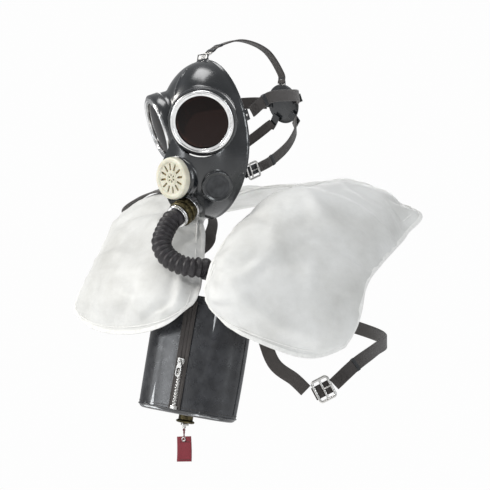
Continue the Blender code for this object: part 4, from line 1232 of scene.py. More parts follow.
def hose_path(per_span):
    """The hose's centre line from the coupling to the manifold's port."""
    start = SPOUT_FRAME @ Vector((0, 0, 0.0515))
    away = (SPOUT_FRAME.to_3x3() @ Vector((0, 0, 1))).normalized()
    end = HOSE_PORT + HOSE_PORT_DIRECTION * 0.0328
    first = start + away * 0.005
    last = end + HOSE_PORT_DIRECTION * 0.005
    bend = [first, first + away * 0.012, *HOSE_ROUTE, last + HOSE_PORT_DIRECTION * 0.006, last]
    return [start, *smooth_path(bend, per_span), end]


def evenly(path, step):
    """Points at an even step along a path."""
    lengths = [0.0]
    for a, b in zip(path, path[1:]):
        lengths.append(lengths[-1] + (b - a).length)
    count = int(lengths[-1] / step)
    points, k = [], 0
    for i in range(count + 1):
        want = lengths[-1] * i / count
        while k < len(path) - 2 and lengths[k + 1] < want:
            k += 1
        span = lengths[k + 1] - lengths[k]
        points.append(path[k].lerp(path[k + 1], (want - lengths[k]) / span))
    return points, lengths[-1]


def corrugated_hose():
    """The ribbed hose with plain cuffs."""
    path, length = evenly(hose_path(24), HOSE_STEP)
    cuff = HOSE_CUFF

    def radius(travelled):
        edge = min(travelled, length - travelled)
        crest = 0.5 + 0.5 * math.cos(2 * math.pi * (travelled - cuff) / HOSE_PITCH)
        ribbed = HOSE_DIAMETER / 2 - HOSE_GROOVE * (1 - crest**0.65)
        flat = HOSE_DIAMETER / 2 - 0.0014
        blend = min(max((edge - cuff * 0.6) / (cuff * 0.4), 0), 1)
        return flat + (ribbed - flat) * blend

    mesh = tube_mesh("ribbed_hose", path, radius, 40)
    made = piece("ribbed_hose", mesh, "hose", None, ("corrugated_hose",))
    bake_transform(made)


# ---------------------------------------------------------------- head harness


HARNESS_THICKNESS = 0.0026
FOREHEAD_WIDTH = 0.014
TEMPLE_WIDTH = 0.018
CHEEK_WIDTH = 0.015


def cheek_buckle_frame(side):
    along = Vector((side * 0.12, 0.96, 0.25)).normalized()
    return MASK_FRAME @ place_along((side * 0.0655, 0.0195, -0.0815), along, Vector((side, 0, 0)))


FOREHEAD_STATIONS = [
    ((0, 0.0215, 0.1065), (0, -0.45, 0.9)),
    ((0, 0.048, 0.1165), (0, -0.25, 1)),
    ((0, 0.098, 0.1215), (0, 0, 1)),
    ((0, 0.150, 0.103), (0, 0.7, 0.7)),
    ((0, 0.178, 0.066), (0, 1, 0.2)),
    ((0, 0.1765, 0.0505), (0, 1, 0.1)),
]


def temple_stations(side):
    """Places and faces along a temple strap."""
    return [
        ((side * 0.0728, 0.0235, 0.0070), (side, 0, 0)),
        ((side * 0.0800, 0.060, 0.026), (side, 0, 0)),
        ((side * 0.0700, 0.120, 0.027), (side, 0.5, 0)),
        ((side * 0.0520, 0.156, 0.026), (side, 1, 0)),
        ((side * 0.0320, 0.1725, 0.0225), (0, 1, 0)),
    ]


def cheek_stations(side):
    """Places and faces along a cheek strap."""
    return [
        ((side * 0.0668, 0.0335, -0.0780), (side, 0, 0)),
        ((side * 0.0680, 0.062, -0.069), (side, 0, 0)),
        ((side * 0.0605, 0.108, -0.050), (side, 0.5, 0)),
        ((side * 0.0440, 0.148, -0.028), (side, 1, 0)),
        ((side * 0.0240, 0.1710, -0.0095), (0, 1, 0)),
    ]


def loop_keeper(name, stations, at, width, thickness, body, placed):
    """A narrow sewn loop round a strap, as a closed band."""
    rows = strap_rows(stations, 1.0, 1.0, 12)
    centre, across, outward, _ = min(rows, key=lambda row: abs(row[3] - at))
    along = across.cross(outward).normalized()
    rings = []
    for shift, grow in ((-0.5, -0.1), (-0.42, 0.12), (0, 0.2), (0.42, 0.12), (0.5, -0.1)):
        half_x = width / 2 + 0.0006 + 0.0008 * grow
        half_y = thickness / 2 + 0.0007 + 0.0008 * grow
        ring = []
        for angle in full_turn(24):
            x = abs(math.cos(angle)) ** 0.35 * math.copysign(half_x, math.cos(angle))
            y = abs(math.sin(angle)) ** 0.35 * math.copysign(half_y, math.sin(angle))
            ring.append(centre + along * shift * 0.0065 + across * x + outward * y)
        rings.append(ring)
    piece(name, loft_mesh(name, rings), "rubber", body, placed=placed)


def head_harness():
    """The crown pad, five straps, their keepers and their stitching."""
    pad = frame_along(Vector((0, 0.176, 0.018)), Vector((0, 1, 0.12)).normalized())
    profile = [
        (0, 0.0012), (0.0100, 0.0012), (0.0106, 0.0020), (0.0125, 0.0020), (0.0131, 0.0012),
        (0.0250, 0.0012), (0.0275, 0.0022), (0.0300, 0.0018), (0.0312, 0.0004), (0.0308, -0.0014),
        (0.0290, -0.0018), (0, -0.0018),
    ]
    turned("crown_pad", profile, "rubber", MASK, MASK_FRAME @ pad, ("head_pad",), 96)
    web = ("webbing", MASK)
    size = (FOREHEAD_WIDTH, HARNESS_THICKNESS)
    strap("forehead_web", FOREHEAD_STATIONS, *size, *web, ("forehead_strap",), MASK_FRAME)
    runs = strap_box(FOREHEAD_STATIONS, FOREHEAD_WIDTH, 0.0028, 0.004, 0.016)
    for side, label in SIDES:
        for kind, stations, width in (
            ("temple", temple_stations(side), TEMPLE_WIDTH),
            ("cheek", cheek_stations(side), CHEEK_WIDTH),
        ):
            node = f"{kind}_strap_{label}"
            strap(f"{kind}_web_{label}", stations, width, HARNESS_THICKNESS, *web, (node,), MASK_FRAME)
            runs += strap_box(stations, width, 0.0028, 0.003, 0.017)
            keeper = f"{kind}_keeper_{label}"
            loop_keeper(keeper, stations, 0.030, width, HARNESS_THICKNESS, MASK, MASK_FRAME)
    for name, at in (("forehead_keeper", 0.026), ("forehead_loop_keeper", 0.007)):
        loop_keeper(name, FOREHEAD_STATIONS, at, *size, MASK, MASK_FRAME)
    thread = {"pitch": 0.0034, "length": 0.0024, "radius": 0.00034}
    stitches("harness_stitching", runs, MASK, placed=MASK_FRAME, **thread)


PAD_RIVET = [(0, 0.0022), (0.0016, 0.0021), (0.0025, 0.0014), (0.0025, -0.0020), (0, -0.0020)]
LUG_RIVET = [(0, 0.0010), (0.0014, 0.0009), (0.0022, 0.0003), (0.0022, -0.0004), (0, -0.0004)]


def rivet(profile, spot, face):
    head = revolve("rivet", profile, 24)
    head.transform(frame_along(spot, face))
    return head


def pad_tabs():
    """Rubber tongues from the crown pad, one under the end of each strap, with a rivet."""
    centre = Vector((0, 0.1755, 0.018))
    face = Vector((0, 1, 0.12)).normalized()
    ends = [Vector(FOREHEAD_STATIONS[-1][0])]
    for side in (1, -1):
        ends += [Vector(stations(side)[-1][0]) for stations in (temple_stations, cheek_stations)]
    tabs, heads = [], []
    for end in ends:
        away = (end - centre).normalized()
        outside = end + Vector((0, 0.0026, 0))
        tip = outside + away * 0.009 - face * 0.0008
        stations = [(centre + away * 0.022, face), (outside, face), (tip, face)]
        tabs.append(loft_mesh("tab", strap_rings(strap_rows(stations, 0.013, 0.0022, 5))))
        heads.append(rivet(PAD_RIVET, outside + away * 0.004, face))
    piece("pad_tabs", joined("pad_tabs", tabs), "rubber", MASK, placed=MASK_FRAME)
    piece("pad_rivets", joined("pad_rivets", heads), "steel", MASK, placed=MASK_FRAME)


def lug_rivets():
    """A flat-headed rivet through each strap lug of the mask."""
    heads = []
    for centre, direction, length, _ in LUGS.values():
        outward = Vector((centre[0], 0, 0)) if abs(centre[0]) > 0.01 else Vector((0, 0, 1))
        face = (outward - Vector(direction) * outward.dot(Vector(direction))).normalized()
        spot = Vector(centre) + Vector(direction) * length * 0.28 + face * (LUG_THICKNESS / 2 - 0.0002)
        heads.append(rivet(LUG_RIVET, spot, face))
    piece("lug_rivets", joined("rivets", heads), "steel", MASK, placed=MASK_FRAME)


def wire_buckle(name, outline, wire, bar, placed, body, node, skin="steel"):
    """A closed wire frame with an optional bar across it."""
    meshes = [tube_mesh(name, outline, wire, 16, True)]
    if bar:
        meshes.append(tube_mesh("bar", smooth_path(bar, 4), wire * 0.9, 16))
    piece(name, joined(name, meshes), skin, body, (node,), placed)


def head_buckles():
    """The forehead loop, and the two cheek buckles with prongs and tabs."""
    along = Vector((0, 0.9, 0.45)).normalized()
    across = Vector((1, 0, 0))
    basis = Matrix((along, across.cross(along), across)).transposed().to_4x4()
    place = MASK_FRAME @ Matrix.Translation(Vector((0, 0.0162, 0.1040))) @ basis
    outline = rounded_frame(0.0035, 0.0100, 0.0018, 6)
    wire_buckle("forehead_loop", outline, 0.0009, None, place, MASK, "forehead_buckle")
    for side, label in SIDES:
        place = cheek_buckle_frame(side)
        outline = rounded_frame(0.0110, 0.0115, 0.0028)
        bar = [Vector((-0.0035, 0, -0.0115)), Vector((-0.0035, 0, 0.0115))]
        wire_buckle(f"cheek_loop_{label}", outline, 0.0015, bar, place, MASK, f"cheek_buckle_{label}")
        prong = [(-0.0046, 0.0013, 0), (-0.0030, 0.0021, 0), (0.004, 0.0022, 0), (0.0122, 0.0024, 0)]
        mesh = tube_mesh("prong", smooth_path(prong, 6), lambda t: 0.0009 - 0.018 * t, 14)
        body = f"cheek_tongue_{label}"
        piece(f"cheek_prong_{label}", mesh, "steel", body, (f"cheek_tongue_{label}",), place)
        under = [(Vector((x, -0.0042, 0)), Vector((0, 1, 0))) for x in (-0.0145, 0.0, 0.0135)]
        strap(f"cheek_tab_{label}", under, 0.0150, 0.0022, "rubber", MASK, placed=place, per_span=4)


# ---------------------------------------------------------------- breathing bag


BAG_CURVES = [smooth_path([section[k] for section in BAG_SECTIONS], 12) for k in range(3)]


def bag_point(u, v):
    """Mid-surface of the bag: u runs from the left chest to the right, v from neck to edge."""
    last = len(BAG_CURVES[0]) - 1
    spot = min(max(u, 0), 1) * last
    low = min(int(spot), last - 1)
    part = spot - low
    inner, middle, outer = (c[low].lerp(c[low + 1], part) for c in BAG_CURVES)
    return inner * (1 - v) * (1 - 2 * v) + middle * 4 * v * (1 - v) + outer * v * (2 * v - 1)


def bag_normal(u, v):
    """The bag's outward direction at a point."""
    step = 0.01
    u = min(max(u, step), 1 - step)
    v = min(max(v, step), 1 - step)
    along = bag_point(u + step, v) - bag_point(u - step, v)
    across = bag_point(u, v + step) - bag_point(u, v - step)
    return across.cross(along).normalized()


def bag_half_thickness(u, v):
    """Half the padding at a point, down to the seam at the borders."""
    across = (1 - abs(2 * v - 1) ** 3) ** 0.5
    along = (1 - abs(2 * u - 1) ** 24) ** 0.5
    return BAG_SEAM / 2 + (BAG_THICKNESS - BAG_SEAM) / 2 * across * along


def bag_grid():
    """Points of the bag: for each cell corner its place, normal, u and v."""
    grid = []
    for i in range(BAG_ALONG + 1):
        row = []
        for j in range(BAG_ACROSS + 1):
            v = j / BAG_ACROSS
            trim = BAG_CORNER * abs(2 * v - 1) ** 6
            u = trim + (1 - 2 * trim) * i / BAG_ALONG
            row.append((bag_point(u, v), bag_normal(u, v), u, v))
        grid.append(row)
    return grid


def border_distances(grid):
    """Distance from each grid point to the nearest border, along the grid's own lines."""
    rows, columns = len(grid), len(grid[0])
    across = [[0.0] * columns for _ in range(rows)]
    for i in range(rows):
        run = [0.0]
        for j in range(1, columns):
            run.append(run[-1] + (grid[i][j][0] - grid[i][j - 1][0]).length)
        for j in range(columns):
            across[i][j] = min(run[j], run[-1] - run[j])
    for j in range(columns):
        run = [0.0]
        for i in range(1, rows):
            run.append(run[-1] + (grid[i][j][0] - grid[i - 1][j][0]).length)
        for i in range(rows):
            across[i][j] = min(across[i][j], run[i], run[-1] - run[i])
    return across


def near_strap(u, v):
    """1 under the sling and behind the relief valve, where the cloth is held flat."""
    sling = math.exp(-(((u - SLING_U) / 0.030) ** 2))
    valve = math.exp(-(((u - VALVE_U) / 0.035) ** 2) - ((v - VALVE_V) / 0.14) ** 2)
    return max(sling, min(valve, 1.0))


# Folds over the shoulders: place along the bag and depth.
SHOULDER_BENDS = ((0.150, 0.0042), (0.285, -0.0040), (0.760, 0.0034))
BEND_WIDTH = 0.012
SWELL = 0.0034
RADIAL_CREASE = 0.0036
DRAPE_CREASE = 0.0038
DENT = 0.0022
PUCKER = 0.0022


def ridge(place, sharpness):
    """A noise of crests: 1 along a crease line, falling to 0 beside it."""
    return max(1 - abs(noise.noise(place)) * sharpness, 0)


def bag_wrinkle(place, u, v, edge, sheet):
    """How far the cloth stands off its smooth shape: slack swells, drape folds, seam puckers."""
    seed = 3.1 if sheet > 0 else 11.7
    swell = noise.noise(Vector((place.x * 9, place.y * 9, place.z * 9 + seed))) * SWELL
    spread = 0.5 + 0.9 * v
    radial = ridge(Vector((u * 17, v * 0.9 + seed, seed)), 5.0) * RADIAL_CREASE * spread
    drape = ridge(Vector((u * 9 + v * 1.1, v * 2.0 - u * 3, seed + 4)), 6.0) * DRAPE_CREASE
    dent = ridge(Vector((place.x * 19, place.y * 19, place.z * 25 + seed * 2)), 4.0) ** 2 * -DENT
    pucker = noise.noise(Vector((u * 110, v * 26, seed + 9)))
    pucker *= PUCKER * math.exp(-(((edge - 0.018) / 0.015) ** 2))
    shoulder = 0.0
    for bend, depth in SHOULDER_BENDS:
        away = (u - bend - 0.035 * (v - 0.5)) / BEND_WIDTH
        shoulder -= depth * math.exp(-abs(away) ** 1.3) * (0.3 + 0.7 * v)
    inside = min(max((edge - HEM_WIDTH * 0.5) / 0.020, 0), 1)
    return (swell + radial + drape + dent + shoulder) * inside + pucker


def hem_ripple(u, v):
    """How far the welded edge waves off the bag's mid-surface."""
    return noise.noise(Vector((u * 60, v * 9, 2.5))) * 0.0018


def bag_shape():
    """Upper and lower sheets of the bag with a flat welded hem all round."""
    grid = bag_grid()
    edges = border_distances(grid)
    sheets = []
    for sheet in (1, -1):
        rows = []
        for i, line in enumerate(grid):
            row = []
            for j, (place, normal, u, v) in enumerate(line):
                edge = edges[i][j]
                full = bag_half_thickness(u, v)
                rise = min(max((edge - HEM_WIDTH) / RISE_WIDTH, 0), 1)
                rise = math.sin(math.pi / 2 * rise) ** 0.8
                half = HEM_HALF + (full - HEM_HALF) * rise
                held = near_strap(u, v)
                half += bag_wrinkle(place, u, v, edge, sheet) * (1 - held) * (0.35 + 0.65 * rise)
                ripple = hem_ripple(u, v) * math.exp(-edge / 0.014)
                row.append(place + normal * (sheet * max(half, HEM_HALF) + ripple * (1 - held)))
            rows.append(row)
        sheets.append(rows)
    return grid, edges, sheets


WEAVE_LENGTH = 1.05
WEAVE_WIDTH = 0.21


def bag_mesh(grid, sheets):
    work = bmesh.new()
    layer = work.loops.layers.uv.new("UVMap")
    length, width = WEAVE_LENGTH, WEAVE_WIDTH
    sides = [[[work.verts.new(p) for p in row] for row in rows] for rows in sheets]

    def panel(corners, spots):
        face = work.faces.new(corners)
        for loop, spot in zip(face.loops, spots):
            loop[layer].uv = spot

    for top, rows in zip((True, False), sides):
        for i in range(BAG_ALONG):
            for j in range(BAG_ACROSS):
                cell = [(i, j), (i + 1, j), (i + 1, j + 1), (i, j + 1)]
                if not top:
                    cell.reverse()
                spots = [(grid[a][b][2] * length, grid[a][b][3] * width) for a, b in cell]
                panel([rows[a][b] for a, b in cell], spots)
    rim = grid_loop(0)
    for (a, b), (c, d) in zip(rim, rim[1:] + rim[:1]):
        spot = (grid[a][b][2] * length, grid[a][b][3] * width)
        corners = (sides[0][c][d], sides[0][a][b], sides[1][a][b], sides[1][c][d])
        panel(corners, [spot] * 4)
    return smooth(closed_mesh("bag_cloth_sheets", work), 80), rim


CLOTH_FRAMES = 16
CLOTH_REACH = 0.0035


def settle_cloth(made, edges):
    """Let the two sheets swell and buckle a little between their welded hems."""
    grid_size = (BAG_ALONG + 1) * (BAG_ACROSS + 1)
    before = [v.co.copy() for v in made.data.vertices]
    held = made.vertex_groups.new(name="held")
    for sheet in range(2):
        index = sheet * grid_size
        for i in range(BAG_ALONG + 1):
            for j in range(BAG_ACROSS + 1):
                u, v = i / BAG_ALONG, j / BAG_ACROSS
                hem = 1.0 if edges[i][j] < HEM_WIDTH else 0.0
                weight = max(hem, near_strap(u, v) ** 2)
                if weight > 0.02:
                    held.add([index + i * (BAG_ACROSS + 1) + j], weight, "REPLACE")
    cloth = made.modifiers.new("cloth", "CLOTH")
    settings = cloth.settings
    settings.quality = 5
    settings.mass = 0.25
    settings.tension_stiffness = 25
    settings.compression_stiffness = 8
    settings.shear_stiffness = 6
    settings.bending_stiffness = 0.6
    settings.shrink_min = -0.030
    settings.use_pressure = True
    settings.uniform_pressure_force = 0.7
    settings.vertex_group_mass = "held"
    settings.effector_weights.gravity = 0
    cloth.collision_settings.use_collision = False
    cloth.collision_settings.use_self_collision = False
    cloth.point_cache.frame_start = 1
    cloth.point_cache.frame_end = CLOTH_FRAMES
    scene = bpy.context.scene
    for step in range(1, CLOTH_FRAMES + 1):
        scene.frame_set(step)
    flatten(made)
    scene.frame_set(1)
    for vertex, old in zip(made.data.vertices, before):
        move = vertex.co - old
        if move.length > CLOTH_REACH:
            vertex.co = old + move.normalized() * CLOTH_REACH
    made.vertex_groups.clear()


def breathing_bag():
    """The bag: two settled sheets, the weld along its hem and the folded binding."""
    grid, edges, sheets = bag_shape()
    mesh, rim = bag_mesh(grid, sheets)
    made = work_object("bag_work", mesh)
    settle_cloth(made, edges)
    mesh = smooth(made.data, 80)
    bpy.data.objects.remove(made, do_unlink=True)
    bag = piece("bag_cloth_sheets", mesh, "cloth", ROOT, ("breathing_bag",))
    finer = bag.modifiers.new("finer", "SUBSURF")
    finer.levels = 1
    finer.render_levels = 1
    tape = tube_mesh("hem_tape", hem_line(grid), 0.0011, 8, True)
    piece("hem_weld_line", tape, "tape", ROOT)
    piece("hem_binding", hem_binding(grid, rim), "tape", ROOT)


def grid_loop(inset):
    """Grid indices once round the bag, inset cells in from its border."""
    far_i, far_j = BAG_ALONG - inset, BAG_ACROSS - inset
    order = [(i, inset) for i in range(inset, far_i)]
    order += [(far_i, j) for j in range(inset, far_j)]
    order += [(i, far_j) for i in range(far_i, inset, -1)]
    order += [(inset, j) for j in range(far_j, inset, -1)]
    return order


def hem_line(grid):
    """The raised weld just inside the hem, on the outer sheet."""
    return [grid[i][j][0] + grid[i][j][1] * (HEM_HALF + 0.0006) for i, j in grid_loop(2)]


def hem_binding(grid, rim):
    """A thin folded binding over the bag's cut edge."""
    rings = []
    count = len(rim)
    border = [grid[a][b][0] for a, b in rim]
    for k, (a, b) in enumerate(rim):
        place, normal, u, v = grid[a][b]
        along = (border[(k + 1) % count] - border[k - 1]).normalized()
        out = along.cross(normal).normalized()
        inner = grid[min(max(a, 1), BAG_ALONG - 1)][min(max(b, 1), BAG_ACROSS - 1)][0]
        if out.dot(place - inner) < 0:
            out = -out
        centre = place + normal * hem_ripple(u, v)
        half = HEM_HALF + 0.0005
        section = [(-0.0052, half), (-0.0015, half + 0.0002), (0.0006, half), (0.0012, 0), (0.0006, -half)]
        section += [(-0.0015, -half - 0.0002), (-0.0052, -half), (-0.0052, 0)]
        rings.append([centre + out * x + normal * y for x, y in section])
    return loft_mesh("hem_binding", rings, True)


def valve_frame():
    normal = -bag_normal(VALVE_U, VALVE_V)
    surface = bag_point(VALVE_U, VALVE_V) + normal * (bag_half_thickness(VALVE_U, VALVE_V) + 0.0030)
    return frame_along(surface, normal)


def relief_valve():
    """The relief valve: seat, sprung disc, spring and vented cap."""
    place = valve_frame()
    seat = [
        (0.0070, 0.0050), (0.0090, 0.0050), (0.0090, 0.0030), (0.0215, 0.0030), (0.0225, 0.0022),
        (0.0225, -0.0012), (0.0070, -0.0012),
    ]
    turned("valve_seat", seat, "aluminium", ROOT, place, ("relief_valve_seat",), 80)
    disc = [
        (0, 0.0068), (0.0030, 0.0068), (0.0034, 0.0062), (0.0105, 0.0064), (0.0110, 0.0060),
        (0.0110, 0.0053), (0, 0.0053),
    ]
    turned("valve_disc", disc, "amber", "relief_disc", place, ("relief_valve_disc",), 64, 0.0002)
    path = []
    turns, steps, radius = 4, 28, 0.0060
    low, high = 0.0075, 0.0136
    for k in range(turns * steps + 1):
        angle = 2 * math.pi * k / steps
        height = low + (high - low) * k / (turns * steps)
        path.append(Vector((radius * math.cos(angle), radius * math.sin(angle), height)))
    coil = tube_mesh("valve_spring", path, 0.0004, 8)
    made = piece("valve_spring", coil, "steel", None, ("relief_valve_spring",), place)
    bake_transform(made)
    cap = [
        (0, 0.0165), (0.0140, 0.0165), (0.0158, 0.0158), (0.0165, 0.0145), (0.0165, 0.0033),
        (0.0145, 0.0033), (0.0145, 0.0143), (0, 0.0143),
    ]
    vents = []
    for angle in full_turn(6):
        spin = Matrix.Rotation(angle, 4, "Z") @ Matrix.Translation((0.0105, 0, 0))
        vents.append(rod_mesh(0.0018, 0.010, 0.020, spin, 20))
    mesh = carved(revolve("valve_cap", cap, 96), vents, 35)
    made = piece("valve_cover", mesh, "aluminium", ROOT, ("relief_valve_cap",), place)
    soften(made, 0.0002, 2, 40)


# ---------------------------------------------------------------- cartridge and case


def manifold_dressing():
    """Ribs and bands of the manifold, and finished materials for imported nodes."""
    neck = frame_along(NECK_TOP, CASE_UP)
    rib = [(0.0205, 0.0030), (0.0226, 0.0024), (0.0226, 0.0006), (0.0205, 0.0002)]
    for k, height in enumerate((0.0035, 0.0500)):
        place = neck @ Matrix.Translation((0, 0, height))
        turned(f"manifold_rib_{k}", rib, "matt_rubber", ROOT, place, steps=80, slot="black_rubber")
    hose_axis = frame_along(HOSE_PORT, HOSE_PORT_DIRECTION)
    hose_band("hose_band_lower", 0.0175, 0.0131, 0.0255, 0.0318, ROOT, hose_axis, "hose_ring_lower")
    reskin("matt_rubber", "manifold")
    reskin("rim", "bag_port_ring")
    reskin("aluminium", "cartridge_shell", "cartridge_lid")
    reskin("steel", "lower_grid", "upper_grid", "bed_spring")
    reskin("felt", "lower_filter_pad", "upper_filter_pad")
    reskin("granules", "chemical_bed")
    reskin("amber", "starter_charge")


FRONT_BOW = 0.0030


def case_point(outline_spot, height, inset=0.0):
    """A point of the case's skin, with a slight belly at half height and on its broad faces."""
    x, y = outline_spot
    up = (height + CASE_TOP) / CASE_HEIGHT
    belly = 0.0011 * math.sin(math.pi * min(max(up, 0), 1)) - inset
    radius = CASE_DEPTH / 2
    half = (CASE_WIDTH - CASE_DEPTH) / 2
    core = Vector((min(max(x, -half), half), 0, 0))
    out = (Vector((x, y, 0)) - core) / radius
    wobble = noise.noise(Vector((x * 16, y * 16, height * 13))) * 0.0007
    if y > radius * 0.9:
        belly = min(belly, 0)
        wobble = 0
    bowed = FRONT_BOW * min(abs(x) / half, 1) ** 2 * max(-y / radius, 0)
    return Vector((x, y + bowed, height)) + out * (belly + wobble)


CASE_CORNER = 0.0075
SEAM_POINTS = 60
CASE_RINGS = 46
CASE_INNER_RINGS = 8
CORNER_RINGS = 6
OUTLINE_STEPS = 22


def case_skin():
    """The case's leatherette: rounded bottom corner, walls, top lip and inner face."""
    outline = obround(CASE_WIDTH, CASE_DEPTH, OUTLINE_STEPS)
    rings = []
    for k in range(CORNER_RINGS + 1):
        angle = math.radians(90 * k / CORNER_RINGS)
        inset = CASE_CORNER * (1 - math.sin(angle))
        height = -CASE_TOP + CASE_CORNER * (1 - math.cos(angle))
        rings.append([case_point(spot, height, inset) for spot in outline])
    for k in range(1, CASE_RINGS + 1):
        height = -CASE_TOP + CASE_CORNER + (CASE_HEIGHT - CASE_CORNER - 0.0010) * k / CASE_RINGS
        rings.append([case_point(spot, height) for spot in outline])
    rings.append([case_point(spot, CASE_TOP, 0.0007) for spot in outline])
    rings.append([case_point(spot, CASE_TOP - 0.0004, CASE_WALL - 0.0003) for spot in outline])
    for k in range(1, CASE_INNER_RINGS + 1):
        height = CASE_TOP - (CASE_HEIGHT - CASE_WALL) * k / CASE_INNER_RINGS
        rings.append([case_point(spot, height, CASE_WALL) for spot in outline])
    plug_hole = rod_mesh(0.0118, -CASE_TOP - 0.01, -CASE_TOP + 0.02, Matrix.Identity(4), 48)
    mesh = carved(loft_mesh("case_skin", rings), [plug_hole], 50)
    piece("case_skin", mesh, "leatherette", ROOT, ("case_body",), CASE_FRAME)


def skin_loop(height, lift, inset=0.0):
    """The case's outline at a height, lifted off its skin."""
    outline = obround(CASE_WIDTH, CASE_DEPTH, OUTLINE_STEPS)
    return [case_point(spot, height, inset - lift) for spot in outline]


def case_trim():
    """Piping at the bottom seam, a folded top hem, and lines of sewing."""
    height = -CASE_TOP + 0.0060
    piping = tube_mesh("case_piping", skin_loop(height, 0.0002, 0.0002), 0.0012, 12, True)
    piece("case_piping", piping, "leatherette", ROOT, placed=CASE_FRAME)
    rings = []
    low, high = CASE_TOP - 0.013, CASE_TOP - 0.0004
    for z, lift in ((low, 0.0), (low + 0.0004, 0.0008), (high - 0.0008, 0.0009), (high, 0.0002)):
        rings.append(skin_loop(z, lift))
    for z, lift in ((high - 0.0004, -0.0003), (low + 0.0004, -0.0003)):
        rings.append(skin_loop(z, lift))
    hem = loft_mesh("case_hem", [list(column) for column in zip(*rings)], True)
    piece("case_hem", hem, "leatherette", ROOT, placed=CASE_FRAME)
    runs = []
    for z in (-CASE_TOP + 0.0105, low + 0.0022):
        loop = skin_loop(z, 0.0010 if z > 0 else 0.0003)
        runs.append([*loop, loop[0]])
    stitches("case_stitching", runs, ROOT, placed=CASE_FRAME, pitch=0.0040, length=0.0027, radius=0.0004)
    for side in (1, -1):
        seam = []
        for k in range(SEAM_POINTS):
            z = -CASE_TOP + 0.012 + (CASE_HEIGHT - 0.028) * k / (SEAM_POINTS - 1)
            seam.append(case_point((side * CASE_WIDTH / 2, 0), z, -0.0002))
        label = "left" if side > 0 else "right"
        mesh = tube_mesh("seam", seam, 0.0009, 8)
        piece(f"case_seam_{label}", mesh, "leatherette", ROOT, placed=CASE_FRAME)
        patch = ring_patch(side)
        piece(f"ring_patch_{label}", patch, "leatherette", ROOT, placed=CASE_FRAME)


def ring_patch(side):
    """The little sewn tab that holds a strap ring on the case's end."""
    rings = []
    middle = CASE_TOP - RING_DROP
    for k in range(17):
        share = k / 16
        z = middle - 0.0105 + 0.021 * share
        swell = 0.0062 * math.sin(math.pi * share) ** 0.6 if 0 < share < 1 else 0.0
        ring = []
        for x, y in STRAP_SECTION:
            out = CASE_WIDTH / 2 + 0.0012 + swell * 0.34 + y * 0.0012
            ring.append(Vector((side * out, x * 0.010, z)))
        rings.append(ring)
    return loft_mesh("ring_patch", rings)


FRONT = CASE_FRAME @ Matrix.Translation((0, -CASE_DEPTH / 2, 0))
TEETH_PITCH = 0.0021
TEETH_LOW = -0.082
TEETH_HIGH = -0.0215
TAPE_FACE = -0.0027


def add_block(work, centre, size):
    """A block added to a bmesh."""
    shape = Matrix.Translation(centre) @ Matrix.Diagonal((*size, 1))
    bmesh.ops.create_cube(work, size=1, matrix=shape)


def front_fastener():
    """The tape down the front, with its rows of teeth, slider and pull."""
    stations = [
        ((0, -0.0018, 0.081), (0, -1, 0)),
        ((0, -0.0019, 0.030), (0, -1, 0)),
        ((0, -0.0019, -0.030), (0, -1, 0)),
        ((0, -0.0017, -0.0835), (0, -1, 0)),
    ]
    strap("front_tape", stations, 0.020, 0.0014, "webbing", ROOT, ("fastener_tape",), FRONT, 24)
    half, low, high = 0.0085, -0.081, 0.079
    runs = [[Vector((x, TAPE_FACE, high)), Vector((x, TAPE_FACE, low))] for x in (-half, half)]
    runs += [[Vector((-half, TAPE_FACE, z)), Vector((half, TAPE_FACE, z))] for z in (high, low)]
    stitches("front_tape_stitching", runs, ROOT, placed=FRONT, pitch=0.0036, length=0.0025, radius=0.00036)
    cord = bmesh.new()
    for x in (-0.0030, 0.0030):
        add_bar(cord, Vector((x, TAPE_FACE, TEETH_LOW)), Vector((x, TAPE_FACE, 0.078)), 0.0008, 8)
    mesh = smooth(mesh_from("beads", cord), 60)
    piece("front_tape_cords", mesh, "webbing", ROOT, placed=FRONT)
    work = bmesh.new()
    count = int((TEETH_HIGH - TEETH_LOW) / TEETH_PITCH)
    for k in range(count):
        side = 1 if k % 2 else -1
        z = TEETH_LOW + TEETH_PITCH * (k + 0.5)
        add_block(work, (side * 0.0006, -0.0030, z), (0.0056, 0.0014, 0.0014))
        add_block(work, (side * -0.0012, -0.0036, z), (0.0014, 0.0008, 0.0010))
    add_block(work, (0, -0.0031, TEETH_LOW + 0.0010), (0.0115, 0.0022, 0.0050))
    mesh = mesh_from("teeth", work)
    made = piece("front_teeth", mesh, "steel", ROOT, ("fastener_teeth",), FRONT)
    soften(made, 0.0002, 2)
    mesh.shade_smooth()
    fastener_slider()


# Half outline of the slider's wings: wide shoulders above, a narrow throat below.
SLIDER_HALF = [
    (0.0, 0.0056), (0.0032, 0.0058), (0.0052, 0.0046), (0.0053, 0.0010), (0.0040, -0.0040),
    (0.0032, -0.0056), (0.0, -0.0057),
]
SLIDER_Z = -0.0120
PULL_HALF = [
    (-0.0022, 0.0010), (-0.0027, -0.0030), (-0.0042, -0.0080), (-0.0045, -0.0190), (-0.0034, -0.0222),
    (0.0, -0.0230),
]
PULL_Z = -0.0118
PULL_EYE_Z = -0.0122
PULL_EYE_RADIUS = 0.0011


def prism(name, outline, levels, drop=0.0):
    """A flat plate with an outline in X and Z, between two levels of Y."""
    return loft_mesh(name, [[Vector((x, y, z + drop)) for x, z in outline] for y in levels])


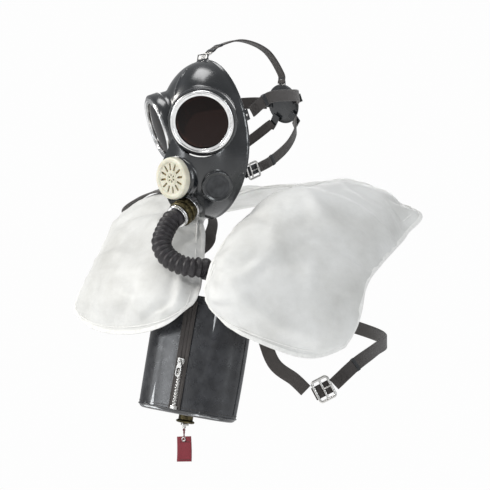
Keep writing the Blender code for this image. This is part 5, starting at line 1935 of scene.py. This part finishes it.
def fastener_slider():
    """The slider with its bridge, and the pull that hangs from it."""
    outline = [*SLIDER_HALF, *[(-x, z) for x, z in reversed(SLIDER_HALF[1:-1])]]
    plates = []
    for levels in ((-0.0030, -0.0023), (-0.0062, -0.0052)):
        plates.append(prism("plate", outline, levels, SLIDER_Z))
    for side in (1, -1):
        rail = [Vector((side * 0.0047, -0.0042, SLIDER_Z + z)) for z in (0.0030, 0.0, -0.0022)]
        plates.append(tube_mesh("rail", rail, 0.0010, 8))
    post = [Vector((0, -0.0042, SLIDER_Z + z)) for z in (0.0040, 0.0052)]
    plates.append(tube_mesh("post", post, 0.0011, 8))
    arch = [
        (-0.0060, -0.0085), (-0.0080, -0.0095), (-0.0085, -0.0115),
        (-0.0080, -0.0138), (-0.0060, -0.0150),
    ]
    bridge = smooth_path([(0, y, z) for y, z in arch], 4)
    plates.append(tube_mesh("bridge", bridge, 0.0009, 10))
    mesh = joined("zip_slider", plates)
    made = piece("zip_slider", mesh, "steel", "fastener_slider", ("fastener_slider",), FRONT)
    soften(made, 0.0002, 2, 40)
    outline = [*PULL_HALF, *[(-x, z) for x, z in reversed(PULL_HALF[:-1])]]
    tab = prism("tab", outline, (-0.0083, -0.0069), PULL_Z)
    window = [(-0.0018, -0.0094), (-0.0027, -0.0110), (-0.0027, -0.0180), (-0.0016, -0.0198)]
    window = [*window, *[(-x, z) for x, z in reversed(window)]]
    through = (-0.012, -0.004)
    eye = [(x, z) for x, z, _ in circle(PULL_EYE_RADIUS, 0, 16)]
    cutters = [prism("window", window, through, PULL_Z), prism("eye", eye, through, PULL_EYE_Z)]
    mesh = carved(tab, cutters, 35)
    made = piece("zip_pull", mesh, "steel", "fastener_pull", ("fastener_pull",), FRONT)
    soften(made, 0.00025, 2, 40)


# ---------------------------------------------------------------- starter


def starter():
    """The starter plug, its pin, and the two-strand cord."""
    floor = -CASE_TOP
    body = [
        (0.0030, floor + 0.0140), (0.0110, floor + 0.0140), (0.0110, floor - 0.0075),
        (0.0132, floor - 0.0085), (0.0140, floor - 0.0092), (0.0140, floor - 0.0108),
        (0.0132, floor - 0.0118), (0.0110, floor - 0.0125), (0.0030, floor - 0.0125),
    ]
    turned("starter_plug", body, "brass", ROOT, CASE_FRAME, ("starter_body",), 96)
    pin = [
        (0, floor + 0.0120), (0.0012, floor + 0.0118), (0.0020, floor + 0.0108),
        (0.0020, floor - 0.0130), (0.0056, floor - 0.0132), (0.0060, floor - 0.0136),
        (0.0060, floor - 0.0156), (0.0056, floor - 0.0160), (0.0026, floor - 0.0164),
        (0.0022, floor - 0.0180), (0.0026, floor - 0.0196), (0.0020, floor - 0.0208),
        (0, floor - 0.0210),
    ]
    turned("striker_pin", pin, "steel", "starter_pull", CASE_FRAME, ("starter_pin",), 48, 0.0002)
    top = CASE_FRAME @ Vector((0, 0, floor - 0.0205))
    strands = []
    count = 40
    for turn in (0, math.pi):
        strand = []
        for k in range(count):
            share = k / (count - 1)
            angle = turn + 4 * math.pi * share
            spread = 0.0010 * math.sin(math.pi * min(share * 1.4 + 0.15, 1)) + 0.0002
            z = top.z + 0.0026 - 0.0176 * share
            strand.append(Vector((top.x + spread * math.cos(angle), top.y + spread * math.sin(angle), z)))
        strands.append(tube_mesh("strand", strand, 0.0009, 8))
    mesh = joined("pull_cord", strands)
    piece("pull_cord", mesh, "red", "starter_pull", ("starter_cord",))
    pull_tag(top)


def pull_tag(top):
    """A folded woven tag with a metal eyelet and a sewn border."""
    down = Vector((0, 0, -1))
    face = Vector((0, -1, 0))
    sway = 0.0014
    stations = []
    for k in range(5):
        share = k / 4
        point = top + down * (0.0122 + 0.0378 * share) + Vector((0, sway * math.sin(2.6 * share), 0))
        stations.append((point, face + Vector((0.10 * share, 0, 0))))
    strap("pull_tag_web", stations, 0.024, 0.0024, "red", "starter_pull", ("pull_tag",), per_span=8)
    runs = strap_box(stations, 0.024, 0.0026, 0.008, 0.036, inset=0.0026, crossed=False, per_span=8)
    stitches("pull_tag_stitching", runs, "starter_pull", "thread", 0.0034, 0.0023, 0.00034)
    spot = stations[0][0] + down * 0.0042 + face * 0.0004
    eyelet = [(0.0016, 0.0012), (0.0026, 0.0018), (0.0036, 0.0012), (0.0036, -0.0012), (0.0016, -0.0012)]
    place = frame_along(spot, face)
    look = {"steps": 48, "round_edges": 0.0003, "slot": "steel"}
    turned("pull_tag_eyelet", eyelet, "steel", "starter_pull", place, **look)


# ---------------------------------------------------------------- carrying strap


CHEST_STATIONS = [
    (CASE_FRAME @ Vector((CASE_WIDTH / 2 + 0.0194, 0, CASE_TOP - RING_DROP)), (0.3, -1, 0)),
    ((0.108, -0.146, -0.250), (0.3, -1, 0)),
    ((0.138, -0.136, -0.276), (0.4, -1, 0)),
    ((0.1525, -0.1268, -0.2925), (0.5, -1, 0)),
]
STRAP_WIDTH = 0.020
STRAP_THICKNESS = 0.0026


def sling_stations():
    """Places and faces along the sling, from the chest buckle round to the right ring."""
    stations = [
        ((0.188, -0.104, -0.283), (0.6, -1, 0)),
        ((0.206, -0.070, -0.252), (0.8, -0.8, 0)),
        ((0.210, -0.010, -0.225), (1, -0.1, 0)),
        ((0.192, 0.060, -0.205), (1, 0.6, 0)),
        ((0.120, 0.112, -0.180), (0.3, 1, 0)),
        ((0.000, 0.128, -0.145), (0, 1, 0.1)),
        ((-0.120, 0.134, -0.095), (-0.2, 1, 0.1)),
        ((-0.205, 0.128, -0.045), (-0.6, 1, 0.3)),
        ((-0.248, 0.096, 0.000), (-1, 0.6, 0.6)),
    ]
    for v in (0.97, 0.8, 0.6, 0.4, 0.2, 0.05):
        normal = bag_normal(SLING_U, v)
        lift = bag_half_thickness(SLING_U, v) + 0.0042
        stations.append((bag_point(SLING_U, v) + normal * lift, normal))
    above_ring = CASE_FRAME @ Vector((-CASE_WIDTH / 2 - 0.0065, 0, CASE_TOP - 0.0125))
    stations += [
        ((-0.0480, -0.0545, -0.018), (0.9, -0.2, 0.3)),
        ((-0.0480, -0.0600, -0.038), (0.9, -0.4, 0.1)),
        ((-0.052, -0.070, -0.058), (0.5, -1, 0.2)),
        ((-0.072, -0.102, -0.088), (-0.5, -1, 0.3)),
        ((-0.096, -0.132, -0.118), (-1, -0.6, 0.2)),
        (above_ring, Vector((-1, 0, 0))),
    ]
    return stations


def carrying_strap():
    """The case rings, chest strap, sling and their stitching."""
    for side, label in SIDES:
        centre = CASE_FRAME @ Vector((side * (CASE_WIDTH / 2 + 0.0065), 0, CASE_TOP - RING_DROP))
        place = Matrix.Translation(centre) @ Matrix.Rotation(CASE_LEAN, 4, "Y")
        outline = rounded_frame(0.0045, 0.0130, 0.003)
        wire_buckle(f"case_loop_{label}", outline, 0.0014, None, place, ROOT, f"case_ring_{label}")
    strap("chest_web", CHEST_STATIONS, STRAP_WIDTH, STRAP_THICKNESS, "webbing", ROOT, ("chest_strap",))
    sling = sling_stations()
    strap("sling_web", sling, STRAP_WIDTH, STRAP_THICKNESS, "webbing", ROOT, ("shoulder_sling",))
    length = strap_rows(sling, 1, 1, 12)[-1][3]
    runs = strap_box(CHEST_STATIONS, STRAP_WIDTH, STRAP_THICKNESS, 0.004, 0.024)
    runs += strap_box(sling, STRAP_WIDTH, STRAP_THICKNESS, 0.006, 0.028)
    runs += strap_box(sling, STRAP_WIDTH, STRAP_THICKNESS, length - 0.030, length - 0.006)
    stitches("strap_stitching", runs, ROOT, pitch=0.0038, length=0.0026, radius=0.0004)
    loop_keeper("sling_keeper", sling, 0.050, STRAP_WIDTH, STRAP_THICKNESS, ROOT, Matrix.Identity(4))


def buckle_place():
    along = Vector((0.6, 0.30, 0.35)).normalized()
    return place_along((0.1765, -0.1155, -0.2905), along, Vector((0.5, -1, 0)).normalized())


def strap_buckle():
    """The chest buckle, its bar, prong and the tab under it."""
    place = buckle_place()
    outline = rounded_frame(0.0125, 0.0165, 0.004)
    bar = [Vector((0, 0, -0.0165)), Vector((0, 0, 0.0165))]
    wire_buckle("sling_loop", outline, 0.0020, bar, place, ROOT, "sling_buckle")
    under = [(Vector((x, -0.0036, 0)), Vector((0, 1, 0))) for x in (-0.0165, 0.0, 0.0140)]
    strap("sling_tab", under, 0.0200, 0.0024, "webbing", ROOT, placed=place, per_span=4)
    prong = [(0.0012, 0.0028, 0), (0.0030, 0.0036, 0), (0.0142, 0.0036, 0)]
    mesh = tube_mesh("prong", smooth_path(prong, 6), lambda t: 0.0013 - 0.02 * t, 16)
    piece("sling_prong", mesh, "steel", "sling_tongue", ("sling_buckle_tongue",), place)


def main():
    camera()
    corrugated_hose()
    studio()
    facepiece()
    boss_caps()
    seal_flap()
    lens_sleeves()
    lenses()
    speech_unit()
    coupling()
    head_harness()
    pad_tabs()
    lug_rivets()
    head_buckles()
    breathing_bag()
    relief_valve()
    manifold_dressing()
    case_skin()
    case_trim()
    front_fastener()
    starter()
    carrying_strap()
    strap_buckle()


main()
